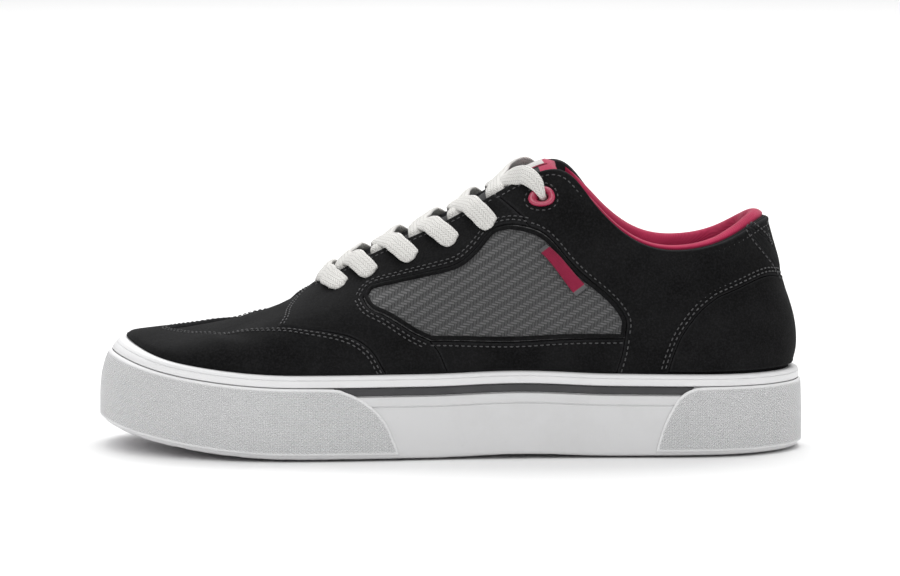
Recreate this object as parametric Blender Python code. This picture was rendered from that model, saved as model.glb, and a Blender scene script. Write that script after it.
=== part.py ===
"""A left skateboarding shoe: cup sole, lasted suede upper, padded collar, tongue and flat lace.

The toe points to -X, the outer (lateral) side to -Y and the inner (medial) side to +Y.
The origin is on the ground under the middle of the shoe. Lengths are in metres.
"""
from collections import namedtuple

import bmesh
import bpy
import numpy as np
from mathutils.geometry import delaunay_2d_cdt

# Driving sizes of the sole
SOLE_LENGTH = 0.300
BALL_WIDTH = 0.112
WAIST_WIDTH = 0.084
HEEL_WIDTH = 0.086
WALL_HEIGHT = 0.036
HEEL_WALL_DROP = 0.0015
TOE_SPRING = 0.010
SPRING_START = 0.70
ARCH_RAISE = 0.0010
ARCH_FROM = 0.27
ARCH_TO = 0.53
WALL_LEAN = 0.0010
TOE_ROLL = 0.0070
ROLL_START = 0.87
FOXING_WALL = 0.0036
BUMPER_LIFT = 0.0006
BUMPER_THICKNESS = 0.0007
STRIP_PROUD = 0.0003
STRIPE_DEPTH = 0.0012
TAPE_PROUD = 0.0003
EDGE_ROUND = 0.0022
HEEL_FLOOR = 0.019
BALL_FLOOR = 0.013
OUTSOLE_THICKNESS = 0.0032
OUTSOLE_REVEAL = 0.0010
OUTSOLE_BORDER = 0.0032
OUTSOLE_GAP = 0.0008
GROOVE_HALF_WIDTH = 0.0022
GROOVE_DEPTH = 0.0014
LUG_COUNT = 15
FOOTPRINT_TURN = 2.6 * SOLE_LENGTH
GROOVE_SLANT = 0.3
TREAD_END = 0.006
FIRST_LUG = 0.010

# Driving sizes of the upper
INSTEP_HEIGHT = 0.1205
HEEL_HEIGHT = 0.0985
COLLAR_HEIGHT = 0.0870
THROAT_HEIGHT = 0.0680
COLLAR_WIDTH = 0.064
THROAT_WIDTH = 0.046
UPPER_WALL = 0.0018
PANEL_THICKNESS = 0.0006
SUEDE_THICKNESS = 0.0013
GUARD_THICKNESS = 0.0017
LINING_THICKNESS = 0.0060
LINING_EDGE = 0.0009
INSOLE_THICKNESS = 0.0045
INSOLE_CUP = 0.0015
INSOLE_RIM = 0.009

# Driving sizes of tongue, lace and eyelets
TONGUE_THICKNESS = 0.0050
TONGUE_ROUND = 0.0160
TONGUE_CROWN = 0.0036
TONGUE_GAP = 0.0020
BRIDGE_CROWN = 0.0012
LABEL_WIDTH = 0.020
LABEL_LENGTH = 0.010
LABEL_THICKNESS = 0.0005
LABEL_INSET = 0.02
LACE_WIDTH = 0.0092
LACE_THICKNESS = 0.0020
LACE_GAP = 0.0008
LACE_HOLE = 0.0024
EYELET_LENGTH = 0.0112
EYELET_WIDTH = 0.0086
EYELET_BORE = 0.0052
EYELET_THICKNESS = 0.0011
TAG_THICKNESS = 0.0007

# Clearance between neighbouring pieces, and under the panels laid on the upper
GAP = 0.0003
PANEL_GAP = 0.0007

# Number of facets
RING_STEPS = 70
UP_LINES = (-1.0, 0.0, 0.12, 0.27, 0.47, 0.72, 1.0)
NEAREST_POINTS = 0.0006
FACET_SLANT = 0.03
HOLE_SIDES = 6
EYELET_SIDES = 12
LINING_FOOT_LINE = -3
LACE_STEPS = 5

# The footprint from heel to toe: the place along the sole as a share of its length, and how
# far each side stands from the middle line as a share of the named width beside it
Print = namedtuple("Print", "along width lateral medial")
FOOTPRINT = (
    Print(0.000, HEEL_WIDTH, 0.000, 0.000),
    Print(0.028, HEEL_WIDTH, 0.265, 0.265),
    Print(0.093, HEEL_WIDTH, 0.435, 0.430),
    Print(0.170, HEEL_WIDTH, 0.490, 0.475),
    Print(0.253, HEEL_WIDTH, 0.500, 0.460),
    Print(0.335, WAIST_WIDTH, 0.520, 0.445),
    Print(0.415, WAIST_WIDTH, 0.540, 0.440),
    Print(0.500, WAIST_WIDTH, 0.575, 0.475),
    Print(0.590, BALL_WIDTH, 0.468, 0.405),
    Print(0.683, BALL_WIDTH, 0.495, 0.462),
    Print(0.780, BALL_WIDTH, 0.490, 0.499),
    Print(0.878, BALL_WIDTH, 0.400, 0.478),
    Print(0.960, BALL_WIDTH, 0.225, 0.355),
    Print(1.000, BALL_WIDTH, -0.075, 0.075),
)

# The edge of collar and throat on the same sections: place along the sole, height as a share
# of a named height, and half width as a share of a named width
Edge = namedtuple("Edge", "along height rise width half")
OPENING = (
    Edge(0.053, HEEL_HEIGHT, 1.000, COLLAR_WIDTH, 0.000),
    Edge(0.068, HEEL_HEIGHT, 0.985, COLLAR_WIDTH, 0.205),
    Edge(0.112, HEEL_HEIGHT, 0.920, COLLAR_WIDTH, 0.385),
    Edge(0.170, COLLAR_HEIGHT, 0.998, COLLAR_WIDTH, 0.475),
    Edge(0.238, COLLAR_HEIGHT, 1.040, COLLAR_WIDTH, 0.500),
    Edge(0.301, INSTEP_HEIGHT, 0.890, COLLAR_WIDTH, 0.480),
    Edge(0.353, INSTEP_HEIGHT, 1.000, COLLAR_WIDTH, 0.425),
    Edge(0.440, INSTEP_HEIGHT, 0.905, THROAT_WIDTH, 0.500),
    Edge(0.520, INSTEP_HEIGHT, 0.792, THROAT_WIDTH, 0.440),
    Edge(0.590, THROAT_HEIGHT, 1.265, THROAT_WIDTH, 0.380),
    Edge(0.647, THROAT_HEIGHT, 1.135, THROAT_WIDTH, 0.300),
    Edge(0.680, THROAT_HEIGHT, 1.045, THROAT_WIDTH, 0.190),
    Edge(0.691, THROAT_HEIGHT, 1.010, THROAT_WIDTH, 0.095),
    Edge(0.694, THROAT_HEIGHT, 1.000, THROAT_WIDTH, 0.000),
)

# The fullness of the last on the same sections, as shares of the height from foxing to edge:
# how high the wall stands straight and how far it swells, how steeply it reaches its edge and
# how far out it comes from there
Full = namedtuple("Full", "stand swell drop spread")
FULLNESS = (
    Full(0.40, 0.10, 0.45, 0.00),
    Full(0.40, 0.10, 0.45, 0.01),
    Full(0.40, 0.08, 0.42, 0.02),
    Full(0.40, 0.08, 0.40, 0.03),
    Full(0.40, 0.08, 0.38, 0.06),
    Full(0.38, 0.07, 0.36, 0.10),
    Full(0.36, 0.07, 0.34, 0.16),
    Full(0.38, 0.06, 0.32, 0.24),
    Full(0.40, 0.05, 0.30, 0.32),
    Full(0.38, 0.04, 0.35, 0.36),
    Full(0.34, 0.04, 0.41, 0.45),
    Full(0.25, 0.03, 0.54, 0.73),
    Full(0.10, 0.02, 0.76, 1.08),
    Full(0.06, 0.01, 0.84, 1.25),
)

# Seams of the upper as seen from the side: place along the sole as a share of its length,
# and height as a share of the instep height
Seam = namedtuple("Seam", "along height")
TOE_CAP_SIDE = (
    Seam(0.8665, 0.406), Seam(0.8067, 0.424), Seam(0.7394, 0.447), Seam(0.6922, 0.447),
    Seam(0.6399, 0.430), Seam(0.6090, 0.382), Seam(0.5885, 0.300),
)
LEADING_SIDE = (
    Seam(0.7200, 0.520), Seam(0.7306, 0.487), Seam(0.7409, 0.448),
)
PANEL_TOP = (
    Seam(0.621, 0.553), Seam(0.608, 0.590), Seam(0.570, 0.618), Seam(0.526, 0.646),
    Seam(0.490, 0.672), Seam(0.467, 0.714), Seam(0.442, 0.785), Seam(0.420, 0.808),
    Seam(0.389, 0.802),
)
PANEL_FRONT = (
    Seam(0.621, 0.553), Seam(0.611, 0.521), Seam(0.589, 0.498), Seam(0.554, 0.446),
    Seam(0.528, 0.414),
)
PANEL_FOOT = (Seam(0.528, 0.414), Seam(0.400, 0.408), Seam(0.256, 0.417))
BAND_FRONT = (Seam(0.528, 0.414), Seam(0.515, 0.370), Seam(0.503, 0.300))
QUARTER_UPPER = (Seam(0.438, 0.930), Seam(0.416, 0.872), Seam(0.389, 0.802))
QUARTER_MIDDLE = (
    Seam(0.389, 0.802), Seam(0.338, 0.698), Seam(0.283, 0.573), Seam(0.256, 0.490),
    Seam(0.256, 0.417),
)
QUARTER_LOWER = (Seam(0.256, 0.417), Seam(0.260, 0.360), Seam(0.267, 0.300))
COUNTER_SIDE = (
    Seam(0.0669, 0.609), Seam(0.1164, 0.562), Seam(0.1353, 0.537), Seam(0.1547, 0.495),
    Seam(0.1758, 0.426), Seam(0.1888, 0.352), Seam(0.1950, 0.300),
)
TAB_SIDE = (Seam(0.083, 0.800), Seam(0.064, 0.757), Seam(0.051, 0.705))
TAG_CORNERS = (
    Seam(0.3666, 0.743), Seam(0.3779, 0.722), Seam(0.3252, 0.566), Seam(0.3089, 0.595),
)

# Where the toe cap and the eyestay cross the middle line, as shares of the rib, and the
# corner at the back where counter, tab and quarter meet, as shares round and up
TOE_CAP_MIDDLE = 0.37
LEADING_MIDDLE = 0.955
HEEL_CORNER = (0.016, 0.63)
LOW_EDGE = 0.015

# Steps of the sole's side, as shares of its height, and the ends of the stripe along it
STRIPE_HEEL_END = 0.165
STRIPE_TOE_END = 0.655
LOWER_STRIP_FROM = 0.64
STRIPE_FROM = 0.75
STRIPE_TO = 0.865
STRIP_STEP = 0.01
STRIPE_SLANT = 0.005
REBATE_MARGIN = 0.012
STRIPE_LOW_MARGIN = 0.008
STRIPE_HIGH_MARGIN = 0.020
EDGE_UP = 0.075
WALL_LINES = (EDGE_UP, LOWER_STRIP_FROM - STRIP_STEP, LOWER_STRIP_FROM + STRIP_STEP, STRIPE_FROM,
              STRIPE_TO)

# Outlines of the textured bumpers, from the edge of the tread up: place along the sole and
# share of the side's height
Guard = namedtuple("Guard", "along height")
TOE_BUMPER_SIDE = (
    Guard(0.569, EDGE_UP), Guard(0.579, 0.290), Guard(0.588, 0.454), Guard(0.604, 0.617),
    Guard(0.623, 0.735), Guard(0.642, 0.810), Guard(0.665, 0.848), Guard(0.750, 0.855),
    Guard(0.850, 0.855), Guard(0.950, 0.855),
)
HEEL_BUMPER_SIDE = (
    Guard(0.213, EDGE_UP), Guard(0.208, 0.240), Guard(0.200, 0.437), Guard(0.189, 0.617),
    Guard(0.179, 0.745), Guard(0.163, 0.830), Guard(0.140, 0.853), Guard(0.050, 0.855),
)
TOE_BUMPER_MIDDLE = 0.855
HEEL_BUMPER_MIDDLE = 0.855

# Eyelet rows as shares of the throat from its front to its peak, and their place on the rib
EYELET_ROWS = (0.115, 0.262, 0.420, 0.580, 0.735)
BAR_MIDDLE = 0.075
EYELET_UP = 0.86
TOP_EYELET_ROW = 0.955
TOP_LACE_ROW = 0.920
TOP_EYELET_UP = 0.865
LINING_TAPER = 0.03
TONGUE_START = 0.03
TONGUE_END = 0.98
TONGUE_NARROWING = 0.40
TONGUE_SIDE = 0.62
EDGE_SHARE = 0.5
LACE_REACH = 0.74
LACE_START = 0.36
LACE_START_ROW = 0.46
TOP_LACE_REACH = 0.54

SECTIONS = len(FOOTPRINT) - 1
AROUND = 2 * SECTIONS
TOE = 0.5
PEAK_ROW = 6


def closed_spline(rows):
    """Control points of the smooth closed curve that passes through the rows."""
    rows = np.asarray(rows, dtype=float)
    step = np.roll(np.eye(len(rows)), 1, axis=1)
    return np.linalg.solve((4 * np.eye(len(rows)) + step + step.T) / 6, rows)


def on_closed(control, share):
    """Points of a closed spline at shares of the way round."""
    place = np.mod(share, 1.0) * len(control)
    first = np.floor(place).astype(int)
    rest = (place - first)[..., None]
    weights = (
        (1 - rest) ** 3,
        3 * rest ** 3 - 6 * rest ** 2 + 4,
        -3 * rest ** 3 + 3 * rest ** 2 + 3 * rest + 1,
        rest ** 3,
    )
    return sum(w * control[(first + k - 1) % len(control)] for k, w in enumerate(weights)) / 6


def curve_weights(count, share):
    """Share of each of some points in the smooth open curve through them."""
    place = np.clip(share, 0, 1) * (count - 1)
    first = np.minimum(np.floor(place).astype(int), count - 2)
    rest = (place - first)[..., None]
    own = np.eye(count)
    slope = np.gradient(own, axis=0)
    return (
        (2 * rest ** 3 - 3 * rest ** 2 + 1) * own[first]
        + (rest ** 3 - 2 * rest ** 2 + rest) * slope[first]
        + (3 * rest ** 2 - 2 * rest ** 3) * own[first + 1]
        + (rest ** 3 - rest ** 2) * slope[first + 1]
    )


def through(points, count):
    """A smooth open curve of some points through a few."""
    points = np.asarray(points, dtype=float)
    return curve_weights(len(points), np.linspace(0, 1, count)) @ points


def both_sides(rows, lateral, medial):
    """The closed ring of rows: heel, lateral side, toe and back along the medial side."""
    return [lateral(row) for row in rows] + [medial(row) for row in rows[-2:0:-1]]


def place_x(along):
    """Place on the X axis of a share of the sole's length, counted from the heel."""
    return SOLE_LENGTH * (0.5 - along)


FOOTPRINT_CURVE = closed_spline(both_sides(
    FOOTPRINT,
    lambda row: (place_x(row.along), -row.lateral * row.width),
    lambda row: (place_x(row.along), row.medial * row.width),
))
OPENING_CURVE = closed_spline(both_sides(
    OPENING,
    lambda row: (place_x(row.along), -row.half * row.width, row.height * row.rise),
    lambda row: (place_x(row.along), row.half * row.width, row.height * row.rise),
))
FULLNESS_CURVE = closed_spline(both_sides(FULLNESS, tuple, tuple))


def smooth_step(value):
    """A soft ramp from 0 to 1."""
    value = np.clip(value, 0, 1)
    return value * value * (3 - 2 * value)


def ground(x):
    """Height of the tread under each place: toe spring in front and a low arch at the waist."""
    along = 0.5 - x / SOLE_LENGTH
    spring = TOE_SPRING * (np.clip(along - SPRING_START, 0, 1) / (1 - SPRING_START)) ** 2
    arch = np.clip((along - ARCH_FROM) / (ARCH_TO - ARCH_FROM), 0, 1)
    return spring + ARCH_RAISE * np.sin(np.pi * arch) ** 2


def wall_height(x):
    """Height of the sole's side above its tread."""
    along = 0.5 - x / SOLE_LENGTH
    return WALL_HEIGHT - HEEL_WALL_DROP * (1 - smooth_step(along / 0.5))


def floor_height(x):
    """Height of the cup's floor, on which upper and insole stand."""
    along = 0.5 - x / SOLE_LENGTH
    return ground(x) + HEEL_FLOOR + (BALL_FLOOR - HEEL_FLOOR) * smooth_step((along - 0.25) / 0.4)


def footprint(around):
    """Point and outward direction of the footprint, in plan."""
    point = on_closed(FOOTPRINT_CURVE, around)
    step = 1e-4
    way = on_closed(FOOTPRINT_CURVE, around + step) - on_closed(FOOTPRINT_CURVE, around - step)
    way = way / np.linalg.norm(way, axis=-1, keepdims=True)
    return point, np.stack([-way[..., 1], way[..., 0]], axis=-1)


def toe_share(x):
    """How much of the toe's roll a place has."""
    along = 0.5 - x / SOLE_LENGTH
    return smooth_step((along - ROLL_START) / (1 - ROLL_START))


def wall_top_inset(around):
    """How far the top of the sole's side stands inside the footprint."""
    point, _ = footprint(around)
    return BUMPER_LIFT + BUMPER_THICKNESS + WALL_LEAN + TOE_ROLL * toe_share(point[..., 0])


def feather_inset(around):
    """How far the upper stands inside the footprint, where it enters the cup."""
    return wall_top_inset(around) + FOXING_WALL


def wall_point(around, up, lift):
    """Point of the sole's side at a share of its height, moved outwards by lift."""
    point, out = footprint(around)
    x = point[..., 0]
    base = BUMPER_LIFT + BUMPER_THICKNESS
    lean = (wall_top_inset(around) - base) * np.clip(up, 0, 1) ** 4
    plan = point + out * (lift - base - lean)[..., None]
    return np.stack([plan[..., 0], plan[..., 1], ground(x) + up * wall_height(x)], axis=-1)


def upper_skin(around, up):
    """Outer skin of the lasted upper: straight in the cup, then one full curve to its edge."""
    point, out = footprint(around)
    inset = feather_inset(around)[..., None]
    plan = point - out * inset
    x = point[..., 0]
    top = ground(x) + wall_height(x)
    base = np.stack([plan[..., 0], plan[..., 1], top], axis=-1)
    edge = on_closed(OPENING_CURVE, around)
    full = on_closed(FULLNESS_CURVE, around)
    rise = (edge[..., 2] - top)[..., None]
    out = np.concatenate([out, np.zeros_like(inset)], axis=-1)
    high = np.array([0.0, 0.0, 1.0])
    low_pull = base + rise * (full[..., 0:1] * high + full[..., 1:2] * out)
    high_pull = edge + rise * (full[..., 3:4] * out - full[..., 2:3] * high)
    t = np.maximum(up, 0)[..., None]
    rib = ((1 - t) ** 3 * base + 3 * (1 - t) ** 2 * t * low_pull
           + 3 * (1 - t) * t ** 2 * high_pull + t ** 3 * edge)
    depth = top - floor_height(x) - GAP
    return rib + (np.minimum(up, 0) * depth)[..., None] * high


def upper_normal(around, up):
    """Outward direction of the upper's skin."""
    step = 1e-3
    way = upper_skin(around + step, up) - upper_skin(around - step, up)
    rise = upper_skin(around, up + step) - upper_skin(around, up - step)
    normal = np.cross(rise, way)
    return normal / np.linalg.norm(normal, axis=-1, keepdims=True)


RIBS = np.arange(RING_STEPS + 1) / RING_STEPS
NODE_PLACES = np.meshgrid(RIBS, np.array(UP_LINES), indexing="ij")
NODE_SKIN = upper_skin(*NODE_PLACES)
NODE_NORMAL = upper_normal(*NODE_PLACES)


def upper_point(around, up, lift):
    """Point of the upper's faceted skin, moved out by lift. Each cell between two ribs and two
    lines is two flat triangles, so every panel lies parallel to the wall behind it."""
    place = np.mod(around, 1.0) * RING_STEPS
    rib = np.minimum(np.floor(place + 1e-9).astype(int), RING_STEPS - 1)
    lines = np.array(UP_LINES)
    line = np.clip(np.searchsorted(lines, up, side="right") - 1, 0, len(lines) - 2)
    right = (place - rib)[..., None]
    over = ((up - lines[line]) / (lines[line + 1] - lines[line]))[..., None]
    lower = right + over < 1
    near, side, above = (
        np.where(lower, 1 - right - over, right + over - 1),
        np.where(lower, right, 1 - over),
        np.where(lower, over, 1 - right),
    )
    found = []
    for node in (NODE_SKIN, NODE_NORMAL):
        corner = np.where(lower, node[rib, line], node[rib + 1, line + 1])
        found.append(near * corner + side * node[rib + 1, line] + above * node[rib, line + 1])
    return found[0] + found[1] * np.asarray(lift)[..., None]


def seat(seam, medial=False):
    """Places on the upper, as shares round and up, of points seen from the side."""
    around = np.linspace(0.0, TOE, 261)
    up = np.linspace(0.0, 1.0, 101)
    grid_around, grid_up = np.meshgrid(around, up, indexing="ij")
    skin = upper_skin(1 - grid_around if medial else grid_around, grid_up)
    target = np.array([(place_x(row.along), row.height * INSTEP_HEIGHT) for row in seam])
    far = ((skin[..., 0][..., None] - target[:, 0]) ** 2
           + (skin[..., 2][..., None] - target[:, 1]) ** 2)
    nearest = far.reshape(-1, len(target)).argmin(axis=0)
    found = np.stack([grid_around.ravel()[nearest], grid_up.ravel()[nearest]], axis=-1)
    if medial:
        found[:, 0] = 1 - found[:, 0]
    return found


def seat_wall(guard, medial=False):
    """Places on the sole's side, as shares round and up, of points seen from the side."""
    around = np.linspace(0.0, TOE, 1001)
    x = footprint(around)[0][:, 0]
    found = np.array([(np.interp(place_x(row.along), x[::-1], around[::-1]), row.height)
                      for row in guard])
    if medial:
        found[:, 0] = 1 - found[:, 0]
    return found


# Points chosen on the throat line, evenly spaced along the shoe
RIM_SHARES = np.linspace(PEAK_ROW / AROUND, TOE, 400)
RIM_X = on_closed(OPENING_CURVE, RIM_SHARES)[:, 0]


def bridge_point(along, across, lift, crown=BRIDGE_CROWN):
    """Point of the arch that spans the throat: along runs from front to peak, across from the
    lateral (-1) to the medial side (1), and past the peak it runs on in the same direction."""
    inside = np.clip(along, 0, 1)
    target = RIM_X[-1] + inside * (RIM_X[0] - RIM_X[-1])
    around = np.interp(target, RIM_X[::-1], RIM_SHARES[::-1])
    ends = []
    for share in (around, 1 - around):
        for up in (TONGUE_SIDE, (1 + TONGUE_SIDE) / 2, 1.0):
            ends.append(upper_point(share, np.full_like(share, up), lift))
    slope = upper_skin(np.array(PEAK_ROW / AROUND), np.array(1.0)) - upper_skin(
        np.array(TOE), np.array(1.0))
    slope[1] = 0
    slope /= np.linalg.norm(slope)
    face = np.array([-slope[2], 0.0, slope[0]])
    narrow = np.clip(np.abs(ends[2][..., 1:2] - ends[5][..., 1:2]) / THROAT_WIDTH, 0, 1)
    middle = (ends[2] + ends[5]) / 2 + face * crown * narrow
    line = np.stack([*ends[:3], middle, *ends[:2:-1]])
    edge = np.abs(across)
    share = np.where(edge < EDGE_SHARE, edge / EDGE_SHARE / 3,
                     1 / 3 + (edge - EDGE_SHARE) / (1 - EDGE_SHARE) * 2 / 3)
    weights = curve_weights(7, (np.sign(across) * share + 1) / 2)
    point = np.einsum("...k,k...d->...d", weights, line)
    run = RIM_X[0] - RIM_X[-1]
    return point + (np.maximum(along - 1, 0) * run)[..., None] * slope


def inside(points, outline):
    """Whether each point lies in a closed outline."""
    ahead = np.roll(outline, -1, axis=0)
    x, y = points[:, None, 0], points[:, None, 1]
    spans = (outline[:, 1] > y) != (ahead[:, 1] > y)
    rise = ahead[:, 1] - outline[:, 1]
    rise = np.where(rise == 0, 1e-12, rise)
    cross = outline[:, 0] + (y - outline[:, 1]) * (ahead[:, 0] - outline[:, 0]) / rise
    return np.sum(spans & (x < cross), axis=1) % 2 == 1


def clearance(points, outline):
    """Distance of each point from a closed outline."""
    ahead = np.roll(outline, -1, axis=0)
    way = ahead - outline
    length = np.maximum((way ** 2).sum(axis=1), 1e-18)
    share = np.clip(((points[:, None] - outline) * way).sum(axis=2) / length, 0, 1)
    near = outline + share[..., None] * way
    return np.linalg.norm(points[:, None] - near, axis=2).min(axis=1)


def shrink(outline, amount, scale):
    """A closed outline moved inwards by an amount, in the scale of its chart."""
    flat = outline * scale
    keep = np.linalg.norm(flat - np.roll(flat, 1, axis=0), axis=1) > 1e-5
    flat = flat[keep]
    before, ahead = np.roll(flat, 1, axis=0), np.roll(flat, -1, axis=0)
    area = np.sum(flat[:, 0] * ahead[:, 1] - ahead[:, 0] * flat[:, 1])

    def left(way):
        way = way / np.linalg.norm(way, axis=1, keepdims=True)
        return np.stack([-way[:, 1], way[:, 0]], axis=1)

    first, second = left(flat - before), left(ahead - flat)
    corner = first + second
    size = np.maximum((corner ** 2).sum(axis=1, keepdims=True), 0.5)
    return (flat + np.sign(area) * corner * 2 * amount / size) / scale


def material(name, colour, roughness, metallic=0.0):
    """A plain material of a colour and a roughness."""
    made = bpy.data.materials.new(name)
    made.use_nodes = True
    shader = made.node_tree.nodes["Principled BSDF"]
    shader.inputs["Base Color"].default_value = (*colour, 1.0)
    shader.inputs["Roughness"].default_value = roughness
    shader.inputs["Metallic"].default_value = metallic
    return made


def add_mesh(name, points, faces, finish):
    """Put a closed shell into the scene, with its faces outward."""
    mesh = bpy.data.meshes.new(name)
    mesh.from_pydata([tuple(point) for point in points], [], [tuple(face) for face in faces])
    work = bmesh.new()
    work.from_mesh(mesh)
    bmesh.ops.remove_doubles(work, verts=work.verts, dist=1e-6)
    bmesh.ops.triangulate(work, faces=work.faces)
    bmesh.ops.recalc_face_normals(work, faces=work.faces)
    work.to_mesh(mesh)
    work.free()
    mesh.shade_smooth()
    mesh.set_sharp_from_angle(angle=np.radians(35))
    made = bpy.data.objects.new(name, mesh)
    mesh.materials.append(finish)
    bpy.context.collection.objects.link(made)
    return made


def meet_lines(outline, lines, scale):
    """An outline with a point added wherever it crosses a line of the facets."""
    found = []
    for start, end in zip(outline, np.roll(outline, -1, axis=0)):
        way = end - start
        nearest = NEAREST_POINTS / max(np.linalg.norm(way * scale), 1e-9)
        shares = [0.0]
        for axis, values in enumerate(lines):
            if way[axis] != 0:
                crossed = (values - start[axis]) / way[axis]
                shares += crossed[(crossed > nearest) & (crossed < 1 - nearest)].tolist()
        last = -1.0
        for share in sorted(shares):
            if share - last > nearest:
                found.append(start + way * share)
                last = share
    return np.array(found)


def chart(places, scale):
    """Flat places in metres; the slight slant makes every cell split the same way."""
    flat = places * scale
    return np.round(flat + np.stack([FACET_SLANT * flat[:, 1], np.zeros(len(flat))], axis=-1), 7)


def triangulate(outlines, holes, lattice, scale, margin):
    """Triangles of the union of some outlines less some holes, with a lattice inside."""
    loops = [chart(outline, scale) for outline in outlines]
    gaps = [chart(hole, scale) for hole in holes]
    free = chart(lattice, scale)
    keep = np.zeros(len(free), dtype=bool)
    for loop in loops:
        keep |= inside(free, loop)
    for loop in loops + gaps:
        keep &= clearance(free, loop) > margin
    for hole in gaps:
        keep &= ~inside(free, hole)
    points = [*loops, *gaps, free[keep]]
    edges = []
    start = 0
    for loop in loops + gaps:
        edges += [(start + k, start + (k + 1) % len(loop)) for k in range(len(loop))]
        start += len(loop)
    found = delaunay_2d_cdt([tuple(p) for p in np.concatenate(points)], edges, [], 0, 1e-8)
    places = np.array([tuple(p) for p in found[0]])
    tris = np.array([tuple(face) for face in found[2]])
    middle = places[tris].mean(axis=1)
    spot = {given: index for index, origin in enumerate(found[3]) for given in origin}
    held = np.zeros(len(tris), dtype=bool)
    start = 0
    for number, loop in enumerate(loops + gaps):
        within = inside(middle, places[[spot[start + k] for k in range(len(loop))]])
        held = held | within if number < len(loops) else held & ~within
        start += len(loop)
    places[:, 0] -= FACET_SLANT * places[:, 1]
    return places / scale, tris[held]


def shell(name, surface, places, tris, low, high, finish):
    """A closed solid between two lifts of a surface over some triangles."""
    used, tris = np.unique(tris, return_inverse=True)
    tris = tris.reshape(-1, 3)
    first, second = places[used, 0], places[used, 1]
    under = surface(first, second, np.broadcast_to(low(first, second), first.shape))
    over = surface(first, second, np.broadcast_to(high(first, second), first.shape))
    count = len(used)
    directed = {(a, b) for tri in tris.tolist() for a, b in zip(tri, tri[1:] + tri[:1])}
    border = [(a, b) for a, b in directed if (b, a) not in directed]
    faces = [tri for tri in tris.tolist()]
    faces += [[c + count, b + count, a + count] for a, b, c in tris.tolist()]
    faces += [[b, a, a + count, b + count] for a, b in sorted(border)]
    return add_mesh(name, np.concatenate([under, over]), faces, finish)


def level(value):
    """A lift that is the same all over a piece."""
    return lambda first, second: np.full(first.shape, value)


def lattice_of(first_values, second_values):
    """Every pair of two lists of shares."""
    first, second = np.meshgrid(first_values, second_values, indexing="ij")
    return np.stack([first.ravel(), second.ravel()], axis=-1)


UPPER_SCALE = np.array([0.76, 0.075])
WALL_SCALE = np.array([0.76, 0.036])
BRIDGE_SCALE = np.array([SOLE_LENGTH * 0.38, 0.044])
ALL_RIBS = np.arange(-RING_STEPS, RING_STEPS + 1) / RING_STEPS
UPPER_LINES = (ALL_RIBS, np.array(UP_LINES))
WALL_FACETS = (ALL_RIBS, np.array(WALL_LINES))
UPPER_LATTICE = lattice_of(RIBS, UP_LINES)
BRIDGE_ALONG = np.linspace(0, 1, 11)
BRIDGE_ACROSS = np.linspace(-1, 1, 13)
BRIDGE_LINES = (BRIDGE_ALONG, BRIDGE_ACROSS)
BRIDGE_LATTICE = lattice_of(*BRIDGE_LINES)


def overlay(name, outline, thickness, finish, holes=()):
    """A panel cut between two larger forms of the upper, a clearance inside its seams."""
    cut = meet_lines(shrink(outline, GAP, UPPER_SCALE), UPPER_LINES, UPPER_SCALE)
    places, tris = triangulate([cut], holes, UPPER_LATTICE, UPPER_SCALE, NEAREST_POINTS)
    return shell(name, upper_point, places, tris, level(PANEL_GAP), level(PANEL_GAP + thickness),
                 finish)


def hole_at(around, up, length, width, sides=HOLE_SIDES):
    """Outline of an oval hole on the upper, as shares round and up, long along the throat."""
    step = 1e-4
    here = np.array([around]), np.array([up])
    way = (upper_skin(here[0] + step, here[1]) - upper_skin(here[0] - step, here[1]))[0] / (2 * step)
    rise = (upper_skin(here[0], here[1] + step) - upper_skin(here[0], here[1] - step))[0] / (2 * step)
    metric = np.array([[way @ way, way @ rise], [way @ rise, rise @ rise]])
    along = way / np.linalg.norm(way)
    across = rise - (rise @ along) * along
    across /= np.linalg.norm(across)
    angle = 2 * np.pi * np.arange(sides) / sides
    ring = (np.cos(angle)[:, None] * along * length + np.sin(angle)[:, None] * across * width) / 2
    shares = np.linalg.solve(metric, np.stack([ring @ way, ring @ rise]))
    return np.array([around, up]) + shares.T


def throat_share(row):
    """Share round the shoe of a place along the throat."""
    target = RIM_X[-1] + row * (RIM_X[0] - RIM_X[-1])
    return float(np.interp(target, RIM_X[::-1], RIM_SHARES[::-1]))


def lace_holes(medial):
    """The punched holes of one side."""
    found = []
    for row in EYELET_ROWS:
        share = throat_share(row)
        found.append(hole_at(1 - share if medial else share, EYELET_UP, LACE_HOLE, LACE_HOLE))
    return found


def top_hole(medial, length, width):
    """The outline of a top eyelet of one side."""
    share = throat_share(TOP_EYELET_ROW)
    place = 1 - share if medial else share
    return hole_at(place, TOP_EYELET_UP, length, width, EYELET_SIDES)


def line_up(around_from, around_to, up, count):
    """A run at one height between two shares round the shoe."""
    return np.stack([np.linspace(around_from, around_to, count), np.full(count, up)], axis=-1)


def rim_run(around_from, around_to):
    """A run along the edge of collar and throat, with a point at each rib on the way."""
    low, high = min(around_from, around_to), max(around_from, around_to)
    ribs = RIBS[(RIBS > low + 1e-3) & (RIBS < high - 1e-3)]
    ribs = np.concatenate([[low], ribs, [high]])
    if around_from > around_to:
        ribs = ribs[::-1]
    return np.stack([ribs, np.ones_like(ribs)], axis=-1)


def ring_rows(insets, heights, count=RING_STEPS):
    """Rings round the footprint, each at an inset and a height, each from a function."""
    around = np.arange(count) / count
    point, out = footprint(around)
    rows = []
    for inset, height in zip(insets, heights):
        plan = point - out * inset(around)[:, None]
        rows.append(np.column_stack([plan, height(point[:, 0])]))
    return rows


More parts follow.
